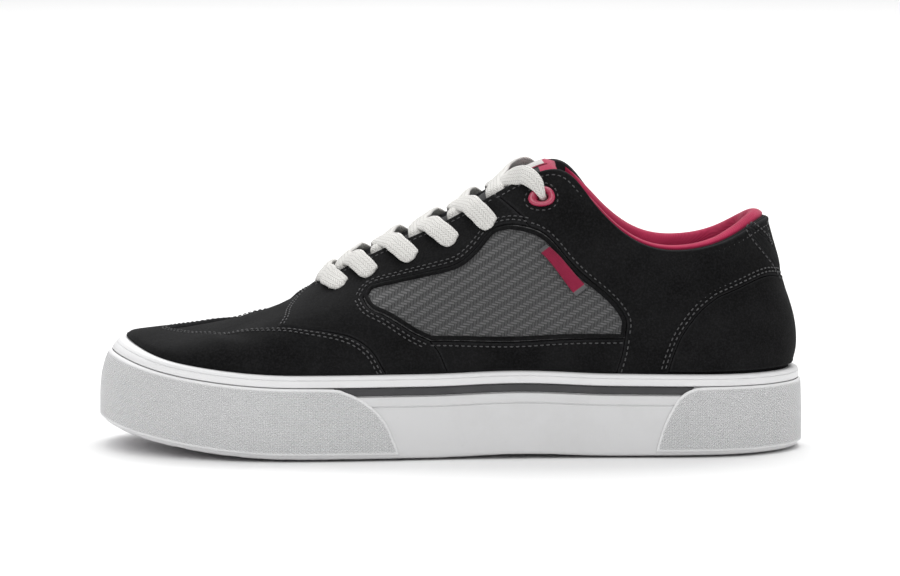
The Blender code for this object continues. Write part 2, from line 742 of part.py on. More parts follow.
def lofted(rows, closed):
    """Points and faces of rings joined in order, closed round or capped across the shoe."""
    count = len(rows[0])
    faces = []
    for k in range(len(rows) if closed else len(rows) - 1):
        low, high = k * count, (k + 1) % len(rows) * count
        for i in range(count):
            j = (i + 1) % count
            faces.append((low + i, low + j, high + j, high + i))
    if not closed:
        for start in (0, (len(rows) - 1) * count):
            half = count // 2
            faces.append((start, start + 1, start + count - 1))
            faces.append((start + half - 1, start + half, start + half + 1))
            for i in range(1, half - 1):
                faces.append((start + i, start + i + 1, start + count - i - 1, start + count - i))
    return np.concatenate(rows), faces


def wall_inset(up, lift):
    """Inset of the sole's side at a share of its height, with a lift outwards."""
    def inset(around):
        base = BUMPER_LIFT + BUMPER_THICKNESS
        lean = (wall_top_inset(around) - base) * up ** 4
        return base + lean - lift
    return inset


def wall_level(up):
    """Height at a share of the sole's side."""
    return lambda x: ground(x) + up * wall_height(x)


def build_sidewall(finish):
    """The moulded cup: wall with lower strip and stripe rebate, floor, and outsole recess."""
    base = BUMPER_LIFT + BUMPER_THICKNESS
    border = base + OUTSOLE_BORDER
    recess = OUTSOLE_THICKNESS + GAP
    cup = lambda around: feather_inset(around) - GAP
    rows = ring_rows(
        [
            lambda around: np.full_like(around, border),
            lambda around: np.full_like(around, border),
            lambda around: np.full_like(around, base + EDGE_ROUND),
            wall_inset(EDGE_UP, 0.0),
            wall_inset(LOWER_STRIP_FROM - STRIP_STEP, 0.0),
            wall_inset(LOWER_STRIP_FROM + STRIP_STEP, STRIP_PROUD),
            wall_inset(STRIPE_FROM, STRIP_PROUD),
            wall_inset(STRIPE_FROM, -STRIPE_DEPTH),
            wall_inset(STRIPE_TO - REBATE_MARGIN, -STRIPE_DEPTH),
            cup,
            cup,
        ],
        [
            lambda x: ground(x) + recess,
            lambda x: ground(x) + OUTSOLE_REVEAL,
            lambda x: ground(x) + OUTSOLE_REVEAL,
            wall_level(EDGE_UP),
            wall_level(LOWER_STRIP_FROM - STRIP_STEP),
            wall_level(LOWER_STRIP_FROM + STRIP_STEP),
            wall_level(STRIPE_FROM),
            wall_level(STRIPE_FROM),
            wall_level(STRIPE_TO - REBATE_MARGIN),
            wall_level(STRIPE_TO - REBATE_MARGIN),
            floor_height,
        ],
    )
    return add_mesh("sidewall", *lofted(rows, closed=False), finish)


def build_foxing_tape(finish):
    """The strip round the top of the cup."""
    cup = lambda around: feather_inset(around) - GAP
    rows = ring_rows(
        [cup, wall_inset(STRIPE_TO, TAPE_PROUD), wall_inset(1.0, TAPE_PROUD), cup],
        [wall_level(STRIPE_TO), wall_level(STRIPE_TO), wall_level(1.0), wall_level(1.0)],
    )
    return add_mesh("foxing_tape", *lofted(rows, closed=True), finish)


def build_outsole(finish):
    """The tread slab: cross grooves between its lugs, flat under heel and forefoot."""
    margin = BUMPER_LIFT + BUMPER_THICKNESS + OUTSOLE_BORDER + OUTSOLE_GAP
    pitch = (TOE - 2 * FIRST_LUG) / LUG_COUNT
    half = GROOVE_HALF_WIDTH / FOOTPRINT_TURN
    slant = half * GROOVE_SLANT
    stations = [(TREAD_END, 0.0)]
    for k in range(1, LUG_COUNT):
        middle = FIRST_LUG + k * pitch
        stations += [(middle - half - slant, 0.0), (middle - half, GROOVE_DEPTH),
                     (middle + half, GROOVE_DEPTH), (middle + half + slant, 0.0)]
    stations.append((TOE - TREAD_END, 0.0))
    around = np.array([place for place, _ in stations])
    cut = np.array([depth for _, depth in stations])
    sides = []
    for share in (around, 1 - around):
        point, out = footprint(share)
        sides.append((point - out * margin, ground(point[:, 0])))
    (lateral, low_l), (medial, low_m) = sides
    points = np.stack([
        np.column_stack([lateral, low_l + cut]),
        np.column_stack([medial, low_m + cut]),
        np.column_stack([medial, low_m + OUTSOLE_THICKNESS]),
        np.column_stack([lateral, low_l + OUTSOLE_THICKNESS]),
    ], axis=1)
    faces = []
    for k in range(len(stations) - 1):
        for i in range(4):
            j = (i + 1) % 4
            faces.append((4 * k + i, 4 * k + j, 4 * k + 4 + j, 4 * k + 4 + i))
    last = 4 * (len(stations) - 1)
    faces.append((0, 1, 2, 3))
    faces.append((last + 3, last + 2, last + 1, last))
    return add_mesh("outsole", points.reshape(-1, 3), faces, finish)


def build_insole(finish):
    """The foot bed on the cup's floor, with a slightly raised rim."""
    edge = lambda around: feather_inset(around) + UPPER_WALL + GAP
    inner = lambda around: edge(around) + INSOLE_RIM
    rows = ring_rows(
        [edge, edge, inner],
        [lambda x: floor_height(x) + GAP,
         lambda x: floor_height(x) + GAP + INSOLE_THICKNESS + INSOLE_CUP,
         lambda x: floor_height(x) + GAP + INSOLE_THICKNESS],
    )
    return add_mesh("insole", *lofted(rows, closed=False), finish)


def build_stripes(finish):
    """The charcoal inlays in the rebate of the cup, one on each side."""
    for name, medial in (("stripe_lateral", False), ("stripe_medial", True)):
        ends = seat_wall([Guard(STRIPE_HEEL_END, 0.5), Guard(STRIPE_TOE_END, 0.5)], medial)[:, 0]
        low, high = STRIPE_FROM + STRIPE_LOW_MARGIN, STRIPE_TO - STRIPE_HIGH_MARGIN
        slant = STRIPE_SLANT * np.sign(ends[0] - ends[1])
        outline = np.array([[ends[0], low], [ends[1] + slant, low], [ends[1], high],
                            [ends[0] - slant, high]])
        outline = meet_lines(outline, WALL_FACETS, WALL_SCALE)
        places, tris = triangulate([outline], [], np.zeros((0, 2)), WALL_SCALE, 0.001)
        shell(name, wall_point, places, tris, level(GAP - STRIPE_DEPTH), level(-GAP), finish)


def build_bumpers(finish):
    """The textured guards round toe and heel."""
    base = level(BUMPER_LIFT)
    top = level(BUMPER_LIFT + BUMPER_THICKNESS)
    for name, side, middle, centre in (
        ("toe_bumper", TOE_BUMPER_SIDE, TOE_BUMPER_MIDDLE, TOE),
        ("heel_bumper", HEEL_BUMPER_SIDE, HEEL_BUMPER_MIDDLE, 0.0),
    ):
        lateral, medial = seat_wall(side), seat_wall(side, medial=True)
        if centre == 0.0:
            medial[:, 0] -= 1
        upper_line = np.concatenate([lateral, [[centre, middle]], medial[::-1]])
        upper_line = through(upper_line, 29)
        ribs = line_up(medial[0, 0], lateral[0, 0], side[0].height, 3)[1:-1]
        outline = meet_lines(np.concatenate([upper_line, ribs]), WALL_FACETS, WALL_SCALE)
        lattice = lattice_of(ALL_RIBS, WALL_LINES)
        places, tris = triangulate([outline], [], lattice, WALL_SCALE, NEAREST_POINTS)
        shell(name, wall_point, places, tris, base, top, finish)


def build_upper(finish):
    """The lasted body: one hollow wall, open at collar, throat and underneath."""
    holes = lace_holes(False) + lace_holes(True)
    holes += [top_hole(medial, EYELET_BORE, EYELET_BORE * 0.8) for medial in (False, True)]
    ends = np.array(UP_LINES)
    outline = np.concatenate([
        np.column_stack([RIBS, np.full_like(RIBS, -1.0)]),
        np.column_stack([np.ones(len(ends) - 2), ends[1:-1]]),
        np.column_stack([RIBS[::-1], np.ones_like(RIBS)]),
        np.column_stack([np.zeros(len(ends) - 2), ends[-2:0:-1]]),
    ])
    places, tris = triangulate([outline], holes, UPPER_LATTICE, UPPER_SCALE, 0.0012)
    keys = {}
    same = np.arange(len(places))
    for index, (around, up) in enumerate(places):
        key = (round(float(around) % 1.0, 5) % 1.0, round(float(up), 5))
        same[index] = keys.setdefault(key, index)
    return shell("upper", upper_point, places, same[tris], level(-UPPER_WALL), level(0.0), finish)


def build_toe_cap(finish):
    """The mudguard round the toe."""
    lateral, medial = seat(TOE_CAP_SIDE), seat(TOE_CAP_SIDE, medial=True)
    top = np.concatenate([lateral[::-1], [[TOE, TOE_CAP_MIDDLE]], medial])
    top = through(top, 17)
    low = line_up(medial[-1, 0], lateral[-1, 0], 0.0, 5)
    low = low[1:-1] + [0, LOW_EDGE]
    top[:, 1] = np.maximum(top[:, 1], LOW_EDGE)
    return overlay("toe_cap", np.concatenate([top, low]), GUARD_THICKNESS, finish)


def heel_seam(seam, medial, count):
    """A seam that starts in the corner at the back; one that rises ends on the collar's edge."""
    places = seat(seam, medial)
    corner = [1 - HEEL_CORNER[0] if medial else HEEL_CORNER[0], HEEL_CORNER[1]]
    run = through(np.concatenate([[corner], places]), count)
    if run[-1, 1] > HEEL_CORNER[1]:
        run[-1, 1] = 1.0
    return run


def side_outline(pieces, medial, counts):
    """A closed outline from seams in order, each a smooth curve; a minus turns one round."""
    runs = []
    for (seam, way), count in zip(pieces, counts):
        run = through(seat(seam, medial), count)
        run[:, 1] = np.clip(run[:, 1], LOW_EDGE, 1.0)
        runs.append(run if way > 0 else run[::-1])
    return runs


def build_eyestay(finish):
    """One piece round the throat that widens into the two front quarters."""
    halves = []
    for medial in (False, True):
        runs = side_outline(
            [(QUARTER_UPPER, 1), (PANEL_TOP, -1), (PANEL_FRONT, 1), (BAND_FRONT, 1)],
            medial, (3, 9, 5, 3))
        cap = through(seat(TOE_CAP_SIDE, medial), 16)
        cap[:, 1] = np.clip(cap[:, 1], LOW_EDGE, 1.0)
        lead = through(seat(LEADING_SIDE, medial), 4)
        below = cap[np.abs(cap[:, 0] - TOE) > abs(lead[-1, 0] - TOE) + 0.002][::-1]
        halves.append((runs, below, lead))
    (runs_l, below_l, lead_l), (runs_m, below_m, lead_m) = halves
    front = through(np.concatenate([lead_l[::-1], [[TOE, LEADING_MIDDLE]], lead_m]), 11)
    top_l, top_m = runs_l[0][0, 0], runs_m[0][0, 0]
    outline = np.concatenate([
        rim_run(top_m, top_l)[:-1],
        *[run[:-1] for run in runs_l],
        runs_l[-1][-1:],
        below_l,
        front,
        below_m[::-1],
        runs_m[-1][::-1][:-1],
        *[run[::-1][:-1] for run in runs_m[-2::-1]],
    ])
    holes = lace_holes(False) + lace_holes(True)
    return overlay("eyestay", outline, SUEDE_THICKNESS, finish, holes)


def build_quarters(finish, panel_finish):
    """Rear quarters, woven side panels and lower bands of both sides."""
    for side, medial in (("lateral", False), ("medial", True)):
        panel = side_outline(
            [(PANEL_TOP, 1), (QUARTER_MIDDLE, 1), (PANEL_FOOT, -1), (PANEL_FRONT, -1)],
            medial, (9, 8, 5, 5))
        overlay("side_panel_" + side, np.concatenate([run[:-1] for run in panel]),
                PANEL_THICKNESS, panel_finish)
        band = side_outline(
            [(PANEL_FOOT, 1), (QUARTER_LOWER, 1), (BAND_FRONT, -1)], medial, (5, 3, 3))
        foot = line_up(band[1][-1, 0], band[2][0, 0], LOW_EDGE, 4)
        overlay("lower_band_" + side,
                np.concatenate([band[0][:-1], band[1], foot[1:-1], band[2][:-1]]),
                SUEDE_THICKNESS, finish)
        front = side_outline(
            [(QUARTER_UPPER, 1), (QUARTER_MIDDLE, 1), (QUARTER_LOWER, 1)], medial, (3, 8, 3))
        back = [heel_seam(COUNTER_SIDE, medial, 9)[::-1], heel_seam(TAB_SIDE[::-1], medial, 5)]
        back[0][:, 1] = np.maximum(back[0][:, 1], LOW_EDGE)
        foot = line_up(front[-1][-1, 0], back[0][0, 0], LOW_EDGE, 4)[1:-1]
        tab_top = back[1][-1]
        rim = rim_run(tab_top[0], front[0][0, 0])
        outline = np.concatenate(
            [*[run[:-1] for run in front], front[-1][-1:], foot, back[0][:-1], back[1][:-1], rim[:-1]])
        overlay("rear_quarter_" + side, outline, SUEDE_THICKNESS, finish,
                [top_hole(medial, EYELET_BORE, EYELET_BORE * 0.8)])


def build_heel(finish):
    """Counter and tab, each in one piece round the back of the heel."""
    lattice = lattice_of(ALL_RIBS, UP_LINES)
    corner = HEEL_CORNER[0]
    across = line_up(corner, -corner, HEEL_CORNER[1], 3)[1:-1]
    for name, seam, thickness, count in (
        ("heel_counter", COUNTER_SIDE, GUARD_THICKNESS, 9),
        ("heel_tab", TAB_SIDE[::-1], SUEDE_THICKNESS, 5),
    ):
        lateral, medial = heel_seam(seam, False, count), heel_seam(seam, True, count)
        medial[:, 0] -= 1
        if name == "heel_counter":
            lateral[:, 1] = np.maximum(lateral[:, 1], LOW_EDGE)
            medial[:, 1] = np.maximum(medial[:, 1], LOW_EDGE)
        end = line_up(medial[-1, 0], lateral[-1, 0], lateral[-1, 1], 5)[1:-1]
        outline = np.concatenate([lateral[::-1], across, medial, end])
        cut = meet_lines(shrink(outline, GAP, UPPER_SCALE), UPPER_LINES, UPPER_SCALE)
        places, tris = triangulate([cut], [], lattice, UPPER_SCALE, NEAREST_POINTS)
        shell(name, upper_point, places, tris, level(PANEL_GAP), level(PANEL_GAP + thickness),
              finish)


def build_collar_lining(finish):
    """The padded roll inside the collar, from one throat peak round the heel to the other."""
    reach = PEAK_ROW * RING_STEPS // AROUND - 1
    ribs = np.arange(reach, -reach - 1, -1) / RING_STEPS
    foot = UP_LINES[LINING_FOOT_LINE]
    top = np.column_stack([ribs, np.ones_like(ribs)])
    low = np.column_stack([ribs[::-1], np.full_like(ribs, foot)])
    places, tris = triangulate(
        [np.concatenate([top, low])], [], lattice_of(ribs, UP_LINES), UPPER_SCALE, 0.002)
    inner = -UPPER_WALL - GAP

    def padded(around, up):
        """Depth of the pad's inner face: full in the middle, thin at its foot and its ends."""
        swell = np.sin(np.pi * (0.12 + 0.70 * (up - foot) / (1 - foot)))
        ends = np.clip((ribs[0] - np.abs(around)) / LINING_TAPER, 0, 1)
        return inner - LINING_EDGE - (LINING_THICKNESS - LINING_EDGE) * swell * ends

    return shell("collar_lining", upper_point, places, tris, padded, level(inner), finish)


def build_tongue(finish, label_finish):
    """The padded tongue under the throat, and its plain label."""
    under = -UPPER_WALL - TONGUE_GAP
    along = BRIDGE_ALONG[(BRIDGE_ALONG > TONGUE_START) & (BRIDGE_ALONG < TONGUE_END)]
    along = np.array([TONGUE_START, *along, TONGUE_END])
    across = BRIDGE_ACROSS
    round_from = TONGUE_END - TONGUE_ROUND / BRIDGE_SCALE[0]
    width = 1 - TONGUE_NARROWING * np.clip(
        (along - round_from) / (TONGUE_END - round_from), 0, 1) ** 2
    surface = lambda first, second, lift: bridge_point(first, second, lift, TONGUE_CROWN)
    outline = np.concatenate([
        lattice_of([along[0]], across),
        np.column_stack([along[1:-1], width[1:-1]]),
        lattice_of([along[-1]], across[::-1] * width[-1]),
        np.column_stack([along[-2:0:-1], -width[-2:0:-1]]),
    ])
    lattice = lattice_of(along[1:-1], across[1:-1])
    places, tris = triangulate([outline], [], lattice, BRIDGE_SCALE, 0.001)
    shell("tongue", surface, places, tris, level(under - TONGUE_THICKNESS), level(under), finish)
    half = LABEL_WIDTH / 2 / BRIDGE_SCALE[1]
    start = TONGUE_END - LABEL_INSET - LABEL_LENGTH / BRIDGE_SCALE[0]
    label = np.concatenate([
        line_up(start, TONGUE_END - LABEL_INSET, -half, 4),
        line_up(TONGUE_END - LABEL_INSET, start, half, 4),
    ])
    label = meet_lines(label, BRIDGE_LINES, BRIDGE_SCALE)
    places, tris = triangulate([label], [], lattice, BRIDGE_SCALE, NEAREST_POINTS)
    shell("tongue_label", surface, places, tris, level(under + GAP),
          level(under + GAP + LABEL_THICKNESS), label_finish)


def band(points, round_start):
    """Outline of a flat lace run along some points of the throat's chart, with a rounded end."""
    middle = through(points, LACE_STEPS) * BRIDGE_SCALE
    way = np.gradient(middle, axis=0)
    way /= np.linalg.norm(way, axis=1, keepdims=True)
    side = np.stack([-way[:, 1], way[:, 0]], axis=1) * LACE_WIDTH / 2
    angle = np.linspace(-np.pi / 2, np.pi / 2, 5)[1:-1, None]
    tips = [
        middle[end] + sign * (np.sin(angle) * side[end] + np.cos(angle) * way[end] * LACE_WIDTH / 4)
        for end, sign in ((-1, 1), (0, -1))
    ]
    start = tips[1] if round_start else tips[1][:0]
    return np.concatenate([middle - side, tips[0], (middle + side)[::-1], start]) / BRIDGE_SCALE


def build_laces(finish):
    """The straight bar at the front and the crossings above it, clear of the eyestay."""
    low = PANEL_GAP + SUEDE_THICKNESS + LACE_GAP
    rows = (*EYELET_ROWS, TOP_LACE_ROW)
    ends = [(rows[0], side * LACE_REACH) for side in (-1, 1)]
    runs = [("lace_bar", [band([ends[0], (BAR_MIDDLE, 0.0), ends[1]], True)])]
    for k in range(1, len(rows)):
        start = rows[k - 1] + LACE_START_ROW * (rows[k] - rows[k - 1])
        reach = LACE_REACH if k < len(rows) - 1 else TOP_LACE_REACH
        runs.append((f"lace_cross_{k}", [
            band([(start, -side * LACE_START), (rows[k], side * reach)], False)
            for side in (-1, 1)]))
    for name, outlines in runs:
        outlines = [meet_lines(outline, BRIDGE_LINES, BRIDGE_SCALE) for outline in outlines]
        places, tris = triangulate(outlines, [], BRIDGE_LATTICE, BRIDGE_SCALE, NEAREST_POINTS)
        shell(name, bridge_point, places, tris, level(low), level(low + LACE_THICKNESS), finish)


def build_trim(eyelet_finish, tag_finish):
    """Crimson top eyelets and the plain woven side tag."""
    low = PANEL_GAP + SUEDE_THICKNESS + GAP
    for name, medial in (("eyelet_lateral", False), ("eyelet_medial", True)):
        rim = top_hole(medial, EYELET_LENGTH, EYELET_WIDTH)
        bore = top_hole(medial, EYELET_BORE, EYELET_BORE * 0.8)
        places, tris = triangulate([rim], [bore], np.zeros((0, 2)), UPPER_SCALE, 0.001)
        shell(name, upper_point, places, tris, level(low), level(low + EYELET_THICKNESS),
              eyelet_finish)
    corners = seat(TAG_CORNERS)
    outline = np.concatenate([
        np.linspace(corners[k], corners[(k + 1) % 4], 5)[:-1] for k in range(4)])
    places, tris = triangulate([outline], [], np.zeros((0, 2)), UPPER_SCALE, 0.001)
    shell("side_tag", upper_point, places, tris, level(low), level(low + TAG_THICKNESS), tag_finish)


def main():
    """Clear the scene and build every piece of the shoe."""
    for old in list(bpy.data.objects):
        bpy.data.objects.remove(old)
    white = material("white_rubber", (0.80, 0.80, 0.80), 0.55)
    grip = material("grip_rubber", (0.76, 0.76, 0.77), 0.65)
    tread = material("tread_rubber", (0.74, 0.72, 0.74), 0.6)
    charcoal = material("charcoal_rubber", (0.045, 0.045, 0.048), 0.5)
    suede = material("black_suede", (0.013, 0.013, 0.013), 0.95)
    woven = material("grey_weave", (0.09, 0.09, 0.09), 0.75)
    crimson = material("crimson_textile", (0.50, 0.021, 0.080), 0.8)
    gloss = material("crimson_gloss", (0.50, 0.021, 0.080), 0.25)
    pale = material("pale_textile", (0.70, 0.68, 0.66), 0.8)
    cord = material("lace_textile", (0.72, 0.71, 0.68), 0.85)
    foam = material("insole_textile", (0.05, 0.05, 0.05), 0.9)
    build_outsole(tread)
    build_sidewall(white)
    build_foxing_tape(white)
    build_stripes(charcoal)
    build_bumpers(grip)
    build_insole(foam)
    build_upper(suede)
    build_toe_cap(suede)
    build_eyestay(suede)
    build_quarters(suede, woven)
    build_heel(suede)
    build_collar_lining(crimson)
    build_tongue(suede, pale)
    build_laces(cord)
    build_trim(gloss, crimson)


main()
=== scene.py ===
"""Looks of a left skateboarding shoe: cup sole, suede upper, woven side panels and flat lace.

The toe points to -X, the outer (lateral) side to -Y and the inner (medial) side to +Y.
Lengths are in metres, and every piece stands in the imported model's own frame.
"""
import logging
from collections.abc import Callable, Sequence
from dataclasses import dataclass, field
from enum import Enum
from typing import NamedTuple

import bmesh
import bpy
import numpy as np
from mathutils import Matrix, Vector
from mathutils.geometry import delaunay_2d_cdt


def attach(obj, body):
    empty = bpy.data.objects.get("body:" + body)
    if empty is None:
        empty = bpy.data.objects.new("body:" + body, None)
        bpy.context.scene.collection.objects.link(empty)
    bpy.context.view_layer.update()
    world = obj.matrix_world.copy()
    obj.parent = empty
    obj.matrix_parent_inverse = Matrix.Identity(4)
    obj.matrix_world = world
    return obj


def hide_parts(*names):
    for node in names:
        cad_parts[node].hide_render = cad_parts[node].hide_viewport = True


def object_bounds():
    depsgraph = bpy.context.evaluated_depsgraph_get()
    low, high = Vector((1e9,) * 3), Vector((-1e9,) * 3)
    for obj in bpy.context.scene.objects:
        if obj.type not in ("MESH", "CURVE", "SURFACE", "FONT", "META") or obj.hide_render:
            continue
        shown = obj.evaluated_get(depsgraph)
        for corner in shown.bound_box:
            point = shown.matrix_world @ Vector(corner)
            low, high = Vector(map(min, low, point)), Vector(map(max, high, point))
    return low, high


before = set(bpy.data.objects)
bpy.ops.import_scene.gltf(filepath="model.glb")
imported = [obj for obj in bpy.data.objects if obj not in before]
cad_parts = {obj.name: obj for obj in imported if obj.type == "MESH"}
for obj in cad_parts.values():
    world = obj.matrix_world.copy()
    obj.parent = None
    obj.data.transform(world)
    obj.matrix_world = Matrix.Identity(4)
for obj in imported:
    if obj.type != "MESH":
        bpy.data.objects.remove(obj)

CAD_LOW, CAD_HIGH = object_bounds()
LOG = logging.getLogger("shoe")
Array = np.ndarray
Colour = tuple[float, float, float]
Place = tuple[float, float, float]

# Driving sizes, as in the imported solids
SOLE_LENGTH = CAD_HIGH.x - CAD_LOW.x
BALL_WIDTH = 0.112
WAIST_WIDTH = 0.084
HEEL_WIDTH = 0.086
INSTEP_HEIGHT = 0.1205
HEEL_HEIGHT = 0.0985
COLLAR_HEIGHT = 0.0870
THROAT_HEIGHT = 0.0680
COLLAR_WIDTH = 0.064
THROAT_WIDTH = 0.046
UPPER_WALL = 0.0018
SKIN_GAP = 0.0001
SEAM_GAP = 0.0002
UPPER_SCALE = np.array([0.76, 0.075])
HIGH = np.array([0.0, 0.0, 1.0])


class Side(Enum):
    """The two sides of the shoe."""

    LATERAL = "lateral"
    MEDIAL = "medial"


class Print(NamedTuple):
    """A section of the footprint: place along the sole, and each side's share of a width."""

    along: float
    width: float
    lateral: float
    medial: float


class Edge(NamedTuple):
    """The edge of collar and throat on a section, as shares of a height and a width."""

    along: float
    height: float
    rise: float
    width: float
    half: float


class Full(NamedTuple):
    """The fullness of the last on a section, as shares of the height from foxing to edge."""

    stand: float
    swell: float
    drop: float
    spread: float


class Seam(NamedTuple):
    """A seam's point seen from the side: shares of the sole's length and the instep height."""

    along: float
    height: float


class Guard(NamedTuple):
    """A point of a bumper's outline: place along the sole and share of the side's height."""

    along: float
    height: float


class Crease(NamedTuple):
    """A soft trough on the upper: its middle and reach as shares round and up, and depth."""

    around: float
    up: float
    reach: float
    width: float
    turn: float
    depth: float


FOOTPRINT = (
    Print(0.000, HEEL_WIDTH, 0.000, 0.000),
    Print(0.028, HEEL_WIDTH, 0.265, 0.265),
    Print(0.093, HEEL_WIDTH, 0.435, 0.430),
    Print(0.170, HEEL_WIDTH, 0.490, 0.475),
    Print(0.253, HEEL_WIDTH, 0.500, 0.460),
    Print(0.335, WAIST_WIDTH, 0.520, 0.445),
    Print(0.415, WAIST_WIDTH, 0.540, 0.440),
    Print(0.500, WAIST_WIDTH, 0.575, 0.475),
    Print(0.590, BALL_WIDTH, 0.468, 0.405),
    Print(0.683, BALL_WIDTH, 0.495, 0.462),
    Print(0.780, BALL_WIDTH, 0.490, 0.499),
    Print(0.878, BALL_WIDTH, 0.400, 0.478),
    Print(0.960, BALL_WIDTH, 0.225, 0.355),
    Print(1.000, BALL_WIDTH, -0.075, 0.075),
)
OPENING = (
    Edge(0.053, HEEL_HEIGHT, 1.000, COLLAR_WIDTH, 0.000),
    Edge(0.068, HEEL_HEIGHT, 0.985, COLLAR_WIDTH, 0.205),
    Edge(0.112, HEEL_HEIGHT, 0.920, COLLAR_WIDTH, 0.385),
    Edge(0.170, COLLAR_HEIGHT, 0.998, COLLAR_WIDTH, 0.475),
    Edge(0.238, COLLAR_HEIGHT, 1.040, COLLAR_WIDTH, 0.500),
    Edge(0.301, INSTEP_HEIGHT, 0.890, COLLAR_WIDTH, 0.480),
    Edge(0.353, INSTEP_HEIGHT, 1.000, COLLAR_WIDTH, 0.425),
    Edge(0.440, INSTEP_HEIGHT, 0.905, THROAT_WIDTH, 0.500),
    Edge(0.520, INSTEP_HEIGHT, 0.792, THROAT_WIDTH, 0.440),
    Edge(0.590, THROAT_HEIGHT, 1.265, THROAT_WIDTH, 0.380),
    Edge(0.647, THROAT_HEIGHT, 1.135, THROAT_WIDTH, 0.300),
    Edge(0.680, THROAT_HEIGHT, 1.045, THROAT_WIDTH, 0.190),
    Edge(0.691, THROAT_HEIGHT, 1.010, THROAT_WIDTH, 0.095),
    Edge(0.694, THROAT_HEIGHT, 1.000, THROAT_WIDTH, 0.000),
)
FULLNESS = (
    Full(0.40, 0.10, 0.45, 0.00),
    Full(0.40, 0.10, 0.45, 0.01),
    Full(0.40, 0.08, 0.42, 0.02),
    Full(0.40, 0.08, 0.40, 0.03),
    Full(0.40, 0.08, 0.38, 0.06),
    Full(0.38, 0.07, 0.36, 0.10),
    Full(0.36, 0.07, 0.34, 0.16),
    Full(0.38, 0.06, 0.32, 0.24),
    Full(0.40, 0.05, 0.30, 0.32),
    Full(0.38, 0.04, 0.35, 0.36),
    Full(0.34, 0.04, 0.41, 0.45),
    Full(0.25, 0.03, 0.54, 0.73),
    Full(0.10, 0.02, 0.76, 1.08),
    Full(0.06, 0.01, 0.84, 1.25),
)

# Seams of the upper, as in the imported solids
TOE_CAP_SIDE = (
    Seam(0.8665, 0.406), Seam(0.8067, 0.424), Seam(0.7394, 0.447), Seam(0.6922, 0.447),
    Seam(0.6399, 0.430), Seam(0.6090, 0.382), Seam(0.5885, 0.300),
)
LEADING_SIDE = (
    Seam(0.7200, 0.520), Seam(0.7306, 0.487), Seam(0.7409, 0.448),
)
PANEL_TOP = (
    Seam(0.621, 0.553), Seam(0.608, 0.590), Seam(0.570, 0.618), Seam(0.526, 0.646),
    Seam(0.490, 0.672), Seam(0.467, 0.714), Seam(0.442, 0.785), Seam(0.420, 0.808),
    Seam(0.389, 0.802),
)
PANEL_FRONT = (
    Seam(0.621, 0.553), Seam(0.611, 0.521), Seam(0.589, 0.498), Seam(0.554, 0.446),
    Seam(0.528, 0.414),
)
PANEL_FOOT = (Seam(0.528, 0.414), Seam(0.400, 0.408), Seam(0.256, 0.417))
BAND_FRONT = (Seam(0.528, 0.414), Seam(0.515, 0.370), Seam(0.503, 0.300))
QUARTER_UPPER = (Seam(0.438, 0.930), Seam(0.416, 0.872), Seam(0.389, 0.802))
QUARTER_MIDDLE = (
    Seam(0.389, 0.802), Seam(0.338, 0.698), Seam(0.283, 0.573), Seam(0.256, 0.490),
    Seam(0.256, 0.417),
)
QUARTER_LOWER = (Seam(0.256, 0.417), Seam(0.260, 0.360), Seam(0.267, 0.300))
COUNTER_SIDE = (
    Seam(0.0669, 0.609), Seam(0.1164, 0.562), Seam(0.1353, 0.537), Seam(0.1547, 0.495),
    Seam(0.1758, 0.426), Seam(0.1888, 0.352), Seam(0.1950, 0.300),
)
TAB_SIDE = (Seam(0.051, 0.705), Seam(0.064, 0.757), Seam(0.083, 0.800))
TAG_CORNERS = (
    Seam(0.3666, 0.743), Seam(0.3779, 0.722), Seam(0.3252, 0.566), Seam(0.3089, 0.595),
)
TOE_CAP_MIDDLE = 0.37
LEADING_MIDDLE = 0.955
HEEL_CORNER = (0.016, 0.63)
LOW_EDGE = 0.0
TOE = 0.5
PEAK_ROW = 6
NEWTON_STEPS = 4
AROUND = 2 * (len(FOOTPRINT) - 1)
PEAK = PEAK_ROW / AROUND

# Soft troughs in the vamp and the quarters
CREASES = (
    Crease(0.447, 0.56, 0.030, 0.050, 0.35, 0.0007),
    Crease(0.425, 0.44, 0.034, 0.045, 0.30, 0.0009),
    Crease(0.553, 0.56, 0.030, 0.050, -0.35, 0.0007),
    Crease(0.575, 0.44, 0.034, 0.045, -0.30, 0.0009),
    Crease(0.170, 0.70, 0.030, 0.060, -0.20, 0.0008),
    Crease(0.830, 0.70, 0.030, 0.060, 0.20, 0.0008),
    Crease(0.130, 0.55, 0.022, 0.070, 0.25, 0.0006),
    Crease(0.870, 0.55, 0.022, 0.070, -0.25, 0.0006),
)


def closed_spline(rows: Sequence[Sequence[float]]) -> Array:
    """Control points of the smooth closed curve through the rows.

    Args:
        rows: Points in order round the curve.

    Returns:
        Cubic B-spline control points, one for each row.
    """
    table = np.asarray(rows, dtype=float)
    step = np.roll(np.eye(len(table)), 1, axis=1)
    return np.linalg.solve((4 * np.eye(len(table)) + step + step.T) / 6, table)


def on_closed(control: Array, share: Array) -> Array:
    """Points of a closed cubic B-spline.

    Args:
        control: Its control points.
        share: Shares of the way round.

    Returns:
        A point for each share.
    """
    place = np.mod(share, 1.0) * len(control)
    first = np.floor(place).astype(int)
    rest = (place - first)[..., None]
    weights = (
        (1 - rest) ** 3,
        3 * rest ** 3 - 6 * rest ** 2 + 4,
        -3 * rest ** 3 + 3 * rest ** 2 + 3 * rest + 1,
        rest ** 3,
    )
    return sum(w * control[(first + k - 1) % len(control)] for k, w in enumerate(weights)) / 6


